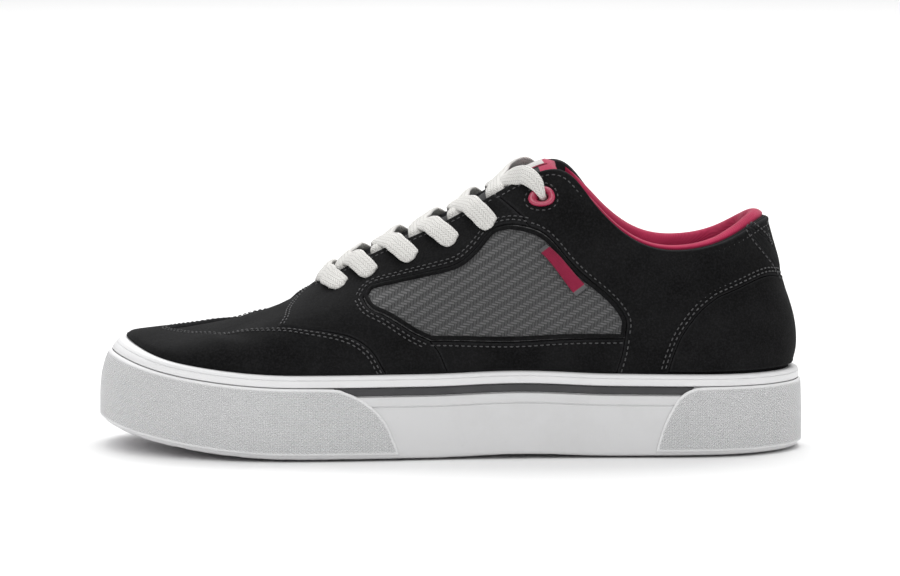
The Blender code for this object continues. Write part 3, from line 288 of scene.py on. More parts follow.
def curve_weights(count: int, share: Array) -> Array:
    """Share of each of some points in the smooth open curve through them.

    Args:
        count: Number of points.
        share: Shares of the way along.

    Returns:
        A row of weights for each share (Hermite curve, slopes from neighbouring points).
    """
    place = np.clip(share, 0, 1) * (count - 1)
    first = np.minimum(np.floor(place).astype(int), count - 2)
    rest = (place - first)[..., None]
    own = np.eye(count)
    slope = np.gradient(own, axis=0)
    return (
        (2 * rest ** 3 - 3 * rest ** 2 + 1) * own[first]
        + (rest ** 3 - 2 * rest ** 2 + rest) * slope[first]
        + (3 * rest ** 2 - 2 * rest ** 3) * own[first + 1]
        + (rest ** 3 - rest ** 2) * slope[first + 1]
    )


def through(points: Sequence[Sequence[float]] | Array, count: int) -> Array:
    """A smooth open curve of some points through a few.

    Args:
        points: The few points.
        count: How many points to return.

    Returns:
        Points along the curve.
    """
    table = np.asarray(points, dtype=float)
    return curve_weights(len(table), np.linspace(0, 1, count)) @ table


def smooth_step(value: Array) -> Array:
    """A soft ramp from 0 to 1."""
    held = np.clip(value, 0, 1)
    return held * held * (3 - 2 * held)


def unit(vectors: Array) -> Array:
    """Vectors brought to length one."""
    return vectors / np.maximum(np.linalg.norm(vectors, axis=-1, keepdims=True), 1e-12)


def lengths(points: Array) -> Array:
    """Length along a run of points, from its start to each of them."""
    return np.concatenate([[0], np.cumsum(np.linalg.norm(np.diff(points, axis=0), axis=1))])


def circle(count: int) -> tuple[Array, Array]:
    """Cosines and sines of even steps round a circle."""
    angle = 2 * np.pi * np.arange(count) / count
    return np.cos(angle), np.sin(angle)


def on_side(around: Array | float, side: Side) -> Array | float:
    """A share counted from the heel along one side, as a share round the whole shoe."""
    return 1 - around if side is Side.MEDIAL else around


def both_sides(
    rows: Sequence[tuple[float, ...]],
    lateral: Callable[[tuple[float, ...]], tuple[float, ...]],
    medial: Callable[[tuple[float, ...]], tuple[float, ...]],
) -> list[tuple[float, ...]]:
    """The closed ring of a table: heel, lateral side, toe and back along the medial side.

    Args:
        rows: The table, from heel to toe.
        lateral: Point of a row on the lateral side.
        medial: Point of a row on the medial side.

    Returns:
        Points in order round the shoe.
    """
    return [lateral(row) for row in rows] + [medial(row) for row in rows[-2:0:-1]]


def place_x(along: Array | float) -> Array | float:
    """Place on the X axis of a share of the sole's length, counted from the heel."""
    return SOLE_LENGTH * (0.5 - along)


@dataclass
class Last:
    """The form that sole and upper share: footprint, side of the sole, ribs and throat."""

    wall_height: float = 0.036
    heel_wall_drop: float = 0.0015
    toe_spring: float = 0.010
    spring_start: float = 0.70
    arch_raise: float = 0.0010
    arch_from: float = 0.27
    arch_to: float = 0.53
    wall_lean: float = 0.0010
    toe_roll: float = 0.0070
    roll_start: float = 0.87
    foxing_wall: float = 0.0036
    bumper_stand: float = 0.0013
    heel_floor: float = 0.019
    ball_floor: float = 0.013
    cup_gap: float = 0.0003
    floor_change: tuple[float, float] = (0.25, 0.4)
    lean_power: int = 4
    pad_swell: float = 0.0016
    pad_fade: float = 0.05
    pad_from: float = 0.52
    pad_reach: float = 0.46
    pad_round: float = 1.3
    bridge_crown: float = 0.0012
    bridge_ups: tuple[float, ...] = (0.62, 0.81, 1.0)

    def __post_init__(self) -> None:
        """Work out the closed curves of the tables and the line of the throat."""
        self.print_curve = closed_spline(both_sides(
            FOOTPRINT,
            lambda row: (place_x(row.along), -row.lateral * row.width),
            lambda row: (place_x(row.along), row.medial * row.width),
        ))
        self.edge_curve = closed_spline(both_sides(
            OPENING,
            lambda row: (place_x(row.along), -row.half * row.width, row.height * row.rise),
            lambda row: (place_x(row.along), row.half * row.width, row.height * row.rise),
        ))
        self.full_curve = closed_spline(both_sides(FULLNESS, tuple, tuple))
        self.rim_shares = np.linspace(PEAK, TOE, 400)
        self.rim_x = on_closed(self.edge_curve, self.rim_shares)[:, 0]
        self.run_shares = np.linspace(0, 1, 2001)
        ring = on_closed(self.print_curve, self.run_shares)
        self.run_lengths = lengths(ring)
        peak, toe = (self.skin(np.array(share), np.array(1.0)) for share in (PEAK, TOE))
        slope = (peak - toe) * np.array([1.0, 0.0, 1.0])
        self.throat_way = slope / np.linalg.norm(slope)
        self.throat_face = np.array([-self.throat_way[2], 0.0, self.throat_way[0]])

    def ground(self, x: Array) -> Array:
        """Height of the tread: the toe rises in front and a low arch lies at the waist."""
        along = 0.5 - x / SOLE_LENGTH
        start = self.spring_start
        spring = self.toe_spring * (np.clip(along - start, 0, 1) / (1 - start)) ** 2
        arch = np.clip((along - self.arch_from) / (self.arch_to - self.arch_from), 0, 1)
        return spring + self.arch_raise * np.sin(np.pi * arch) ** 2

    def side_height(self, x: Array) -> Array:
        """Height of the sole's side above its tread."""
        along = 0.5 - x / SOLE_LENGTH
        return self.wall_height - self.heel_wall_drop * (1 - smooth_step(along / 0.5))

    def floor(self, x: Array) -> Array:
        """Height of the cup's floor."""
        along = 0.5 - x / SOLE_LENGTH
        change = smooth_step((along - self.floor_change[0]) / self.floor_change[1])
        return self.ground(x) + self.heel_floor + (self.ball_floor - self.heel_floor) * change

    def footprint(self, around: Array) -> tuple[Array, Array]:
        """Point and outward direction of the footprint, in plan, at shares round the shoe."""
        step = 1e-4
        way = unit(on_closed(self.print_curve, around + step)
                   - on_closed(self.print_curve, around - step))
        return on_closed(self.print_curve, around), np.stack([-way[..., 1], way[..., 0]], axis=-1)

    def run(self, around: Array) -> Array:
        """Length along the footprint from the heel's middle."""
        turns = np.floor(around)
        return turns * self.run_lengths[-1] + np.interp(
            around - turns, self.run_shares, self.run_lengths)

    def top_inset(self, around: Array) -> Array:
        """How far the top of the sole's side stands inside the footprint."""
        along = 0.5 - self.footprint(around)[0][..., 0] / SOLE_LENGTH
        roll = smooth_step((along - self.roll_start) / (1 - self.roll_start))
        return self.bumper_stand + self.wall_lean + self.toe_roll * roll

    def wall(self, around: Array, up: Array, lift: Array) -> Array:
        """Point of the sole's side at a share of its height, moved outwards by lift."""
        point, out = self.footprint(around)
        x = point[..., 0]
        lean = (self.top_inset(around) - self.bumper_stand) * np.clip(up, 0, 1) ** self.lean_power
        plan = point + out * (lift - self.bumper_stand - lean)[..., None]
        height = self.ground(x) + up * self.side_height(x)
        return np.stack([plan[..., 0], plan[..., 1], height], axis=-1)

    def skin(self, around: Array, up: Array) -> Array:
        """Outer skin of the lasted upper: straight in the cup, then one cubic Bezier rib."""
        point, out = self.footprint(around)
        plan = point - out * (self.top_inset(around) + self.foxing_wall)[..., None]
        x = point[..., 0]
        top = self.ground(x) + self.side_height(x)
        base = np.stack([plan[..., 0], plan[..., 1], top], axis=-1)
        edge = on_closed(self.edge_curve, around)
        full = on_closed(self.full_curve, around)
        rise = (edge[..., 2] - top)[..., None]
        out = np.concatenate([out, np.zeros_like(rise)], axis=-1)
        low_pull = base + rise * (full[..., 0:1] * HIGH + full[..., 1:2] * out)
        high_pull = edge + rise * (full[..., 3:4] * out - full[..., 2:3] * HIGH)
        t = np.maximum(up, 0)[..., None]
        rib = ((1 - t) ** 3 * base + 3 * (1 - t) ** 2 * t * low_pull
               + 3 * (1 - t) * t ** 2 * high_pull + t ** 3 * edge)
        depth = top - self.floor(x) - self.cup_gap
        return rib + (np.minimum(up, 0) * depth)[..., None] * HIGH

    def ways(self, around: Array, up: Array) -> tuple[Array, Array]:
        """How the skin moves for a full share round, and for a full share up."""
        step = 1e-3
        way = self.skin(around + step, up) - self.skin(around - step, up)
        rise = self.skin(around, up + step) - self.skin(around, up - step)
        return way / (2 * step), rise / (2 * step)

    def normal(self, around: Array, up: Array) -> Array:
        """Outward direction of the skin."""
        way, rise = self.ways(around, up)
        return unit(np.cross(rise, way))

    def relief(self, around: Array, up: Array) -> Array:
        """Lift of the worn form over the last: a padded collar and soft troughs.

        The collar swells by half a sine between two heights behind the throat's peak. Each
        trough is a bell in its own turned frame, long one way and narrow the other.
        """
        back = np.minimum(np.mod(around, 1.0), 1 - np.mod(around, 1.0))
        collar = smooth_step((PEAK - back) / self.pad_fade)
        height = np.clip((up - self.pad_from) / self.pad_reach, 0, 1)
        swell = np.sin(np.pi * height) ** self.pad_round
        lift = self.pad_swell * collar * swell
        squash = UPPER_SCALE[1] / UPPER_SCALE[0]
        for crease in CREASES:
            gone = np.mod(around - crease.around + 0.5, 1.0) - 0.5
            rise = (up - crease.up) * squash
            along = gone * np.cos(crease.turn) + rise * np.sin(crease.turn)
            across = rise * np.cos(crease.turn) - gone * np.sin(crease.turn)
            bell = np.exp(-(along / crease.reach) ** 2 - (across / crease.width / squash) ** 2)
            lift = lift - crease.depth * bell
        return lift

    def point(self, around: Array, up: Array, lift: Array | float) -> Array:
        """Point of the worn upper, moved out along its normal by lift."""
        out = (self.relief(around, up) + lift)[..., None]
        return self.skin(around, up) + self.normal(around, up) * out

    def seat(self, seam: Sequence[Seam], side: Side) -> Array:
        """Places on the upper of points seen from the side.

        Args:
            seam: The points, as shares of length and instep height.
            side: The side of the shoe they lie on.

        Returns:
            Shares round and up: the nearest of a grid, moved on by a few Newton steps.
        """
        around, up = np.meshgrid(np.linspace(0, TOE, 261), np.linspace(0, 1, 101), indexing="ij")
        skin = self.skin(on_side(around, side), up)
        target = np.array([(place_x(row.along), row.height * INSTEP_HEIGHT) for row in seam])
        far = ((skin[..., 0, None] - target[:, 0]) ** 2 + (skin[..., 2, None] - target[:, 1]) ** 2)
        nearest = far.reshape(-1, len(target)).argmin(axis=0)
        found = np.stack([around.ravel()[nearest], up.ravel()[nearest]], axis=-1)
        found[:, 0] = on_side(found[:, 0], side)
        for _ in range(NEWTON_STEPS):
            way, rise = self.ways(found[:, 0], found[:, 1])
            matrix = np.stack([way[:, [0, 2]], rise[:, [0, 2]]], axis=-1)
            miss = target - self.skin(found[:, 0], found[:, 1])[:, [0, 2]]
            hold = matrix.transpose(0, 2, 1) @ matrix + 1e-5 * np.eye(2)
            step = np.linalg.solve(hold, (matrix.transpose(0, 2, 1) @ miss[..., None]))[..., 0]
            found = found + np.clip(step, -0.01, 0.01)
            found[:, 1] = np.clip(found[:, 1], 0, 1)
        return found

    def seat_wall(self, guard: Sequence[Guard], side: Side) -> Array:
        """Places on the sole's side, as shares round and up, of points seen from the side."""
        around = np.linspace(0.0, TOE, 1001)
        x = self.footprint(around)[0][:, 0]
        found = np.array([
            (np.interp(place_x(row.along), x[::-1], around[::-1]), row.height) for row in guard])
        found[:, 0] = on_side(found[:, 0], side)
        return found

    def throat_share(self, row: Array | float) -> Array:
        """Share round the shoe of a place along the throat."""
        target = self.rim_x[-1] + np.asarray(row) * (self.rim_x[0] - self.rim_x[-1])
        return np.interp(target, self.rim_x[::-1], self.rim_shares[::-1])

    def bridge(self, along: Array, across: Array, lift: Array, crown: Array | float) -> Array:
        """Point of the arch that spans the throat.

        The arch is a smooth curve through seven points of each section: two on each side of
        the upper, the two edges of the throat, and a middle raised by the crown.

        Args:
            along: Share of the throat from its front to its peak, and on past it.
            across: Share from the lateral (-1) to the medial side (1); the edges lie at half.
            lift: Distance out from the upper's skin.
            crown: Height of the middle over the edges.

        Returns:
            A point for each place.
        """
        around = self.throat_share(np.clip(along, 0, 1))
        ends = []
        for share in (around, 1 - around):
            for up in self.bridge_ups:
                height = np.full_like(share, up)
                normal = self.normal(share, height)
                ends.append(self.skin(share, height) + normal * lift[..., None])
        narrow = np.clip(np.abs(ends[2][..., 1:2] - ends[5][..., 1:2]) / THROAT_WIDTH, 0, 1)
        raised = np.broadcast_to(np.asarray(crown, dtype=float), along.shape)[..., None]
        middle = (ends[2] + ends[5]) / 2 + self.throat_face * raised * narrow
        line = np.stack([*ends[:3], middle, *ends[:2:-1]])
        share = np.interp(np.abs(across), (0, 0.5, 1), (0, 1 / 3, 1))
        weights = curve_weights(7, (np.sign(across) * share + 1) / 2)
        point = np.einsum("...k,k...d->...d", weights, line)
        run = self.rim_x[0] - self.rim_x[-1]
        return point + (np.maximum(along - 1, 0) * run)[..., None] * self.throat_way


LAST = Last()


def add_piece(
    name: str,
    points: Array,
    faces: Array | Sequence[Array],
    materials: Sequence[bpy.types.Material],
    uv: Array | None = None,
    marks: dict[str, Array] | None = None,
    slots: Array | None = None,
    sharp: float = 50.0,
) -> bpy.types.Object:
    """Put a closed mesh into the scene, faces outward, with its UV map and attributes.

    Args:
        name: The piece's name.
        points: Its points.
        faces: Rows of point numbers, or several tables of them.
        materials: The materials of its slots.
        uv: Two surface coordinates of each point, in metres.
        marks: Numbers of each point, by attribute name.
        slots: The material slot of each face.
        sharp: Angle over which an edge is shaded as sharp, in degrees.

    Returns:
        The new object.
    """
    tables = [faces] if isinstance(faces, np.ndarray) else list(faces)
    mesh = bpy.data.meshes.new(name)
    rows = [row for table in tables for row in table.tolist()]
    mesh.from_pydata(points.tolist(), [], rows)
    corner = np.zeros(len(mesh.loops), dtype=np.int32)
    mesh.loops.foreach_get("vertex_index", corner)
    if uv is not None:
        layer = mesh.uv_layers.new(name="surface")
        layer.data.foreach_set("uv", uv[corner].astype(np.float32).ravel())
    for key, values in (marks or {}).items():
        mark = mesh.attributes.new(key, "FLOAT", "POINT")
        mark.data.foreach_set("value", values.astype(np.float32))
    for material in materials:
        mesh.materials.append(material)
    if slots is not None:
        mesh.polygons.foreach_set("material_index", slots.astype(np.int32))
    work = bmesh.new()
    work.from_mesh(mesh)
    bmesh.ops.remove_doubles(work, verts=work.verts, dist=1e-6)
    bmesh.ops.recalc_face_normals(work, faces=work.faces)
    work.to_mesh(mesh)
    work.free()
    mesh.shade_smooth()
    mesh.set_sharp_from_angle(angle=np.radians(sharp))
    made = bpy.data.objects.new(name, mesh)
    bpy.context.collection.objects.link(made)
    LOG.info("%s: %d faces", name, len(mesh.polygons))
    return made


def grid_faces(rows: int, columns: int, rows_close: bool, columns_close: bool) -> Array:
    """Four-sided faces of a grid of points, row by row, closed either way round.

    Args:
        rows: Number of rows of points.
        columns: Number of points in a row.
        rows_close: Whether the last row meets the first.
        columns_close: Whether each row closes on itself.

    Returns:
        A row of four point numbers for each face.
    """
    i = np.arange(rows if rows_close else rows - 1)[:, None]
    j = np.arange(columns if columns_close else columns - 1)[None, :]
    i, j = np.broadcast_arrays(i, j)
    ahead, side = (i + 1) % rows, (j + 1) % columns
    return np.stack([i * columns + j, i * columns + side, ahead * columns + side,
                     ahead * columns + j], axis=-1).reshape(-1, 4)


def resample(outline: Array, step: float) -> Array:
    """Points at even steps along a closed outline, its corners among them."""
    ring = np.vstack([outline, outline[:1]])
    sides = np.linalg.norm(np.diff(ring, axis=0), axis=1)
    length = np.concatenate([[0], np.cumsum(sides)])
    counts = np.maximum(np.ceil(sides / step).astype(int), 1)
    order = np.arange(counts.sum()) - np.repeat(np.cumsum(counts) - counts, counts)
    at = np.repeat(length[:-1], counts) + np.repeat(sides / counts, counts) * order
    return np.column_stack([np.interp(at, length, ring[:, k]) for k in (0, 1)])


def inside(points: Array, outline: Array) -> Array:
    """Whether each point lies in a closed outline, by the crossings of a ray.

    Args:
        points: Points of a plane.
        outline: The outline's corners.

    Returns:
        True for each point that lies in it.
    """
    ahead = np.roll(outline, -1, axis=0)
    rise = ahead[:, 1] - outline[:, 1]
    rise = np.where(rise == 0, 1e-12, rise)
    odd = []
    for block in np.array_split(points, len(points) // 2000 + 1):
        x, y = block[:, None, 0], block[:, None, 1]
        spans = (outline[:, 1] > y) != (ahead[:, 1] > y)
        cross = outline[:, 0] + (y - outline[:, 1]) * (ahead[:, 0] - outline[:, 0]) / rise
        odd.append(np.sum(spans & (x < cross), axis=1) % 2 == 1)
    return np.concatenate(odd)


def clearance(points: Array, outline: Array) -> Array:
    """Distance of each point from a closed outline.

    Args:
        points: Points of a plane.
        outline: The outline's corners.

    Returns:
        The shortest distance to any of its sides.
    """
    way = np.roll(outline, -1, axis=0) - outline
    length = np.maximum((way ** 2).sum(axis=1), 1e-18)
    far = []
    for block in np.array_split(points, len(points) // 2000 + 1):
        away = block[:, None] - outline
        share = np.clip((away * way).sum(axis=2) / length, 0, 1)
        far.append(np.linalg.norm(away - share[..., None] * way, axis=2).min(axis=1))
    return np.concatenate(far)


def shrink(outline: Array, amount: float) -> Array:
    """A closed outline moved inwards by an amount, each corner along its middle direction."""
    keep = np.linalg.norm(outline - np.roll(outline, 1, axis=0), axis=1) > 1e-5
    flat = outline[keep]
    before, ahead = np.roll(flat, 1, axis=0), np.roll(flat, -1, axis=0)
    area = np.sum(flat[:, 0] * ahead[:, 1] - ahead[:, 0] * flat[:, 1])
    first, second = unit(flat - before), unit(ahead - flat)
    corner = np.stack([-(first + second)[:, 1], (first + second)[:, 0]], axis=1)
    size = np.maximum((corner ** 2).sum(axis=1, keepdims=True), 0.5)
    return flat + np.sign(area) * corner * 2 * amount / size


def fill(
    outline: Array,
    holes: Sequence[Array],
    spacing: float,
    rings: Sequence[float],
    gap: float = SEAM_GAP,
) -> tuple[Array, Array, Array]:
    """Triangles of a plane outline less its holes, with rings of points near its edges.

    Args:
        outline: The outline's corners, in metres.
        holes: Outlines of the holes.
        spacing: Distance between inner points.
        rings: Distances from the edges at which extra points lie.
        gap: How far inside its outline the piece is cut.

    Returns:
        Points, triangles, and each point's distance from the nearest edge.
    """
    cut = shrink(outline, gap) if gap else outline
    loops = [resample(cut, spacing * 0.6), *holes]
    low, high = loops[0].min(axis=0), loops[0].max(axis=0)
    count = np.ceil((high - low) / spacing).astype(int) + 2
    i, j = np.meshgrid(np.arange(count[0]), np.arange(count[1]), indexing="ij")
    free = low + np.stack([(i + (j % 2) / 2) * spacing, j * spacing * 0.9], axis=-1).reshape(-1, 2)
    near, wanted = [], []
    for ring in rings:
        for number, loop in enumerate(loops):
            near.append(shrink(loop, ring if number == 0 else -ring))
            wanted.append(np.full(len(near[-1]), ring * 0.8))
    wanted.append(np.full(len(free), max(rings, default=0.0) + spacing * 0.35))
    free, wanted = np.concatenate([*near, free]), np.concatenate(wanted)
    clear = np.min([clearance(free, loop) for loop in loops], axis=0)
    kept = inside(free, loops[0]) & (clear > wanted)
    for hole in holes:
        kept &= ~inside(free, hole)
    free, clear = free[kept], clear[kept]
    edges = []
    start = 0
    for loop in loops:
        edges += [(start + k, start + (k + 1) % len(loop)) for k in range(len(loop))]
        start += len(loop)
    every = np.concatenate([*loops, free])
    found = delaunay_2d_cdt([tuple(p) for p in every], edges, [], 0, 1e-8)
    places = np.array([tuple(p) for p in found[0]])
    tris = np.array([tuple(face) for face in found[2]])
    spot = np.zeros(len(every), dtype=int)
    for index, origin in enumerate(found[3]):
        spot[list(origin)] = index
    middle = places[tris].mean(axis=1)
    held = np.ones(len(tris), dtype=bool)
    start = 0
    for number, loop in enumerate(loops):
        within = inside(middle, places[spot[start:start + len(loop)]])
        held &= within if number == 0 else ~within
        start += len(loop)
    distance = np.zeros(len(places))
    distance[spot] = np.concatenate([np.zeros(start), clear])
    used, tris = np.unique(tris[held], return_inverse=True)
    return places[used], tris.reshape(-1, 3), distance[used]


def shell_faces(tris: Array, count: int) -> list[Array]:
    """Faces of a closed shell: a top, an underside turned over, and walls along the border.

    Args:
        tris: Triangles of the top.
        count: Number of points of the top; the underside has as many.

    Returns:
        Tables of faces.
    """
    ways = np.concatenate([tris[:, [0, 1]], tris[:, [1, 2]], tris[:, [2, 0]]])
    code = ways[:, 0] * count + ways[:, 1]
    back = ways[:, 1] * count + ways[:, 0]
    border = ways[~np.isin(code, back)]
    walls = np.column_stack([border[:, 1], border[:, 0], border[:, 0] + count,
                             border[:, 1] + count])
    return [tris, tris[:, ::-1] + count, walls]


def slab(over: Array, under: Array) -> tuple[Array, list[Array]]:
    """Points and faces of a closed slab between two grids of points.

    Args:
        over: Rows of points of one face.
        under: Rows of points of the other.

    Returns:
        Points, and tables of faces.
    """
    grid = grid_faces(*over.shape[:2], False, False)
    tris = np.concatenate([grid[:, [0, 1, 2]], grid[:, [0, 2, 3]]])
    points = np.concatenate([over.reshape(-1, 3), under.reshape(-1, 3)])
    return points, shell_faces(tris, len(points) // 2)


def tube(rings: Array, ends: Array) -> tuple[Array, list[Array]]:
    """Points and faces of a closed tube, with a fan of faces to one point at each end.

    Args:
        rings: Rows of points round the tube.
        ends: The two end points.

    Returns:
        Points, and tables of faces.
    """
    steps, count = rings.shape[:2]
    ring = np.arange(count)
    ahead = np.roll(ring, -1)
    first = np.column_stack([ring, ahead, np.full(count, steps * count)])
    last = np.column_stack([ahead, ring, np.full(count, steps * count + 1)])
    last[:, :2] += (steps - 1) * count
    points = np.concatenate([rings.reshape(-1, 3), ends])
    return points, [grid_faces(steps, count, False, True), first, last]


def edge_round(distance: Array, radius: float) -> Array:
    """Share of a panel's thickness at a distance from its edge: a quarter round."""
    rest = 1 - np.clip(distance / radius, 0, 1)
    return np.sqrt(np.maximum(1 - rest ** 2, 0))


class Graph:
    """A material's node graph, built a node at a time."""

    def __init__(self, name: str) -> None:
        """Start a material that has a Principled BSDF."""
        self.material = bpy.data.materials.new(name)
        self.material.use_nodes = True
        self.tree = self.material.node_tree
        self.shader = self.tree.nodes["Principled BSDF"]

    def add(self, kind: str, **settings: object) -> bpy.types.Node:
        """A new node of a kind, with its settings."""
        node = self.tree.nodes.new("ShaderNode" + kind)
        for key, value in settings.items():
            setattr(node, key, value)
        return node

    def feed(self, socket: bpy.types.NodeSocket, value: object) -> None:
        """Give an input a number or colour, or link it to an output."""
        if isinstance(value, bpy.types.NodeSocket):
            self.tree.links.new(value, socket)
        else:
            socket.default_value = value

    def place(self) -> bpy.types.NodeSocket:
        """Coordinates of the object, in metres."""
        return self.add("TexCoord").outputs["Object"]

    def surface(self) -> bpy.types.NodeSocket:
        """Coordinates of the piece's own surface map, in metres."""
        return self.add("UVMap", uv_map="surface").outputs["UV"]

    def mark(self, name: str) -> bpy.types.NodeSocket:
        """A number that the piece's points carry."""
        return self.add("Attribute", attribute_name=name).outputs["Fac"]

    def noise(
        self, vector: bpy.types.NodeSocket, scale: float, detail: float = 3.0, rough: float = 0.5
    ) -> bpy.types.NodeSocket:
        """Cloudy noise from 0 to 1."""
        node = self.add("TexNoise")
        self.feed(node.inputs["Vector"], vector)
        node.inputs["Scale"].default_value = scale
        node.inputs["Detail"].default_value = detail
        node.inputs["Roughness"].default_value = rough
        return node.outputs[0]

    def maths(self, operation: str, *values: object) -> bpy.types.NodeSocket:
        """The result of a sum, product or other operation on numbers."""
        node = self.add("Math", operation=operation)
        for socket, value in zip(node.inputs, values):
            self.feed(socket, value)
        return node.outputs[0]

    def parts(self, vector: bpy.types.NodeSocket) -> list[bpy.types.NodeSocket]:
        """The three numbers of a vector."""
        node = self.add("SeparateXYZ")
        self.feed(node.inputs[0], vector)
        return list(node.outputs)

    def ramp(
        self, factor: object, low: float, high: float, start: float = 0.0, end: float = 1.0
    ) -> bpy.types.NodeSocket:
        """A number carried from one range to another, held at its ends."""
        node = self.add("MapRange", clamp=True)
        for socket, value in zip(node.inputs, (factor, low, high, start, end)):
            self.feed(socket, value)
        return node.outputs[0]

    def blend(self, factor: object, first: object, second: object) -> bpy.types.NodeSocket:
        """A colour between two."""
        node = self.add("Mix", data_type="RGBA")
        for index, value in ((0, factor), (6, first), (7, second)):
            if isinstance(value, tuple):
                value = (*value, 1.0)
            self.feed(node.inputs[index], value)
        return node.outputs[2]

    def bump(
        self, height: object, depth: float, strength: float = 1.0, under: object = None
    ) -> bpy.types.NodeSocket:
        """A normal from a height of a depth in metres, laid over another."""
        node = self.add("Bump")
        self.feed(node.inputs["Height"], height)
        node.inputs["Distance"].default_value = depth
        node.inputs["Strength"].default_value = strength
        if under is not None:
            self.feed(node.inputs["Normal"], under)
        return node.outputs[0]

    def finish(self, **values: object) -> bpy.types.Material:
        """Set or link the shader's inputs and return the material."""
        for key, value in values.items():
            if isinstance(value, tuple):
                value = (*value, 1.0)
            self.feed(self.shader.inputs[key.replace("_", " ")], value)
        return self.material


@dataclass(frozen=True)
class Suede:
    """Napped leather: brushed patches, a fine fibre and lighter cut edges."""

    name: str = "black suede"
    colour: Colour = (0.0034, 0.0034, 0.0036)
    brushed: Colour = (0.0090, 0.0090, 0.0094)
    cut: Colour = (0.034, 0.034, 0.036)
    fibre: float = 0.00022

    def build(self) -> bpy.types.Material:
        """Make the material."""
        graph = Graph(self.name)
        place = graph.place()
        patch = graph.ramp(graph.noise(place, 38.0, 4.0, 0.62), 0.36, 0.68)
        fleck = graph.ramp(graph.noise(place, 1 / self.fibre / 4, 3.0, 0.7), 0.42, 0.72)
        base = graph.blend(patch, self.colour, self.brushed)
        base = graph.blend(graph.maths("MULTIPLY", fleck, 0.30), base, self.cut)
        rim = graph.maths("MULTIPLY", graph.mark("edge"), graph.ramp(fleck, 0.0, 1.0, 0.55, 1.0))
        base = graph.blend(rim, base, self.cut)
        nap = graph.bump(graph.noise(place, 1 / self.fibre, 2.0, 0.6), self.fibre * 0.55, 0.55)
        dents = graph.bump(graph.noise(place, 240.0, 3.0, 0.55), 0.0005, 0.35, nap)
        return graph.finish(Base_Color=base, Roughness=0.92, Normal=dents, Sheen_Weight=0.05,
                            Sheen_Roughness=0.45, Sheen_Tint=(0.45, 0.45, 0.46),
                            Specular_IOR_Level=0.10)


@dataclass(frozen=True)
class Weave:
    """A coarse twill of flat grey yarns on the side view's coordinates, with painted groove shade.
    """

    name: str = "grey twill"
    dark: Colour = (0.030, 0.030, 0.031)
    light: Colour = (0.150, 0.150, 0.152)
    cell: tuple[float, float] = (0.0013, 0.0011)
    turn: float = 0.16

    def build(self) -> bpy.types.Material:
        """Make the material: a two-and-two twill, whose floats step one yarn in each row."""
        graph = Graph(self.name)
        place = graph.place()
        x, _, z = graph.parts(place)[:3]
        wave = graph.maths("MULTIPLY", graph.noise(place, 55.0, 2.0), 0.0016)
        lean = graph.maths("ADD", graph.maths("MULTIPLY", x, self.turn), wave)
        u = graph.maths("DIVIDE", graph.maths("ADD", x, wave), self.cell[0])
        v = graph.maths("DIVIDE", graph.maths("ADD", z, lean), self.cell[1])
        step = graph.maths("SUBTRACT", graph.maths("FLOOR", u), graph.maths("FLOOR", v))
        order = graph.maths("FLOORED_MODULO", step, 4.0)
        over = graph.maths("LESS_THAN", order, 1.5)
        ridges = [
            graph.maths("SINE", graph.maths("MULTIPLY", graph.maths("FRACT", value), float(np.pi)))
            for value in (v, u)
        ]
        both = graph.add("Mix", data_type="FLOAT")
        for index, value in ((0, over), (2, ridges[1]), (3, ridges[0])):
            graph.feed(both.inputs[index], value)
        height = graph.maths("POWER", both.outputs[0], 0.7)
        # Painted shade: the colour darkens where each yarn dips at its edges and on the sunken
        # floats.
        float_shade = graph.ramp(over, 0.0, 1.0, 0.45, 1.0)
        fuzz = graph.ramp(graph.noise(place, 1900.0, 3.0), 0.3, 0.7, 0.65, 1.0)
        shade = graph.maths("MULTIPLY", graph.ramp(height, 0.2, 0.95, 0.15, 1.0), float_shade)
        colour = graph.blend(graph.maths("MULTIPLY", shade, fuzz), self.dark, self.light)
        lifted = graph.maths("ADD", height, graph.maths("MULTIPLY", over, 0.5))
        normal = graph.bump(lifted, 0.0004, 0.8)
        return graph.finish(Base_Color=colour, Roughness=0.62, Normal=normal,
                            Sheen_Weight=0.05, Specular_IOR_Level=0.35)


@dataclass(frozen=True)
class Rubber:
    """Moulded rubber: a little grime, a fine skin and faint unevenness."""

    name: str
    colour: Colour
    grime: Colour
    roughness: float = 0.5
    dirt: float = 0.35

    def base(self) -> tuple[Graph, bpy.types.NodeSocket]:
        """The graph with colour and roughness set, and its skin's normal."""
        graph = Graph(self.name)
        place = graph.place()
        cloud = graph.ramp(graph.noise(place, 26.0, 6.0, 0.7), 0.52, 0.80, 0.0, self.dirt)
        speck = graph.ramp(graph.noise(place, 420.0, 3.0, 0.75), 0.66, 0.80, 0.0, self.dirt)
        colour = graph.blend(graph.maths("MAXIMUM", cloud, speck), self.colour, self.grime)
        rough = graph.ramp(graph.noise(place, 90.0, 4.0), 0.3, 0.7, self.roughness - 0.06,
                           self.roughness + 0.10)
        graph.finish(Base_Color=colour, Roughness=rough, Specular_IOR_Level=0.45)
        skin = graph.bump(graph.noise(place, 1500.0, 3.0, 0.6), 0.00006, 0.6)
        return graph, graph.bump(graph.noise(place, 60.0, 2.0), 0.0005, 0.25, skin)

    def build(self) -> bpy.types.Material:
        """Make the material."""
        graph, normal = self.base()
        return graph.finish(Normal=normal)


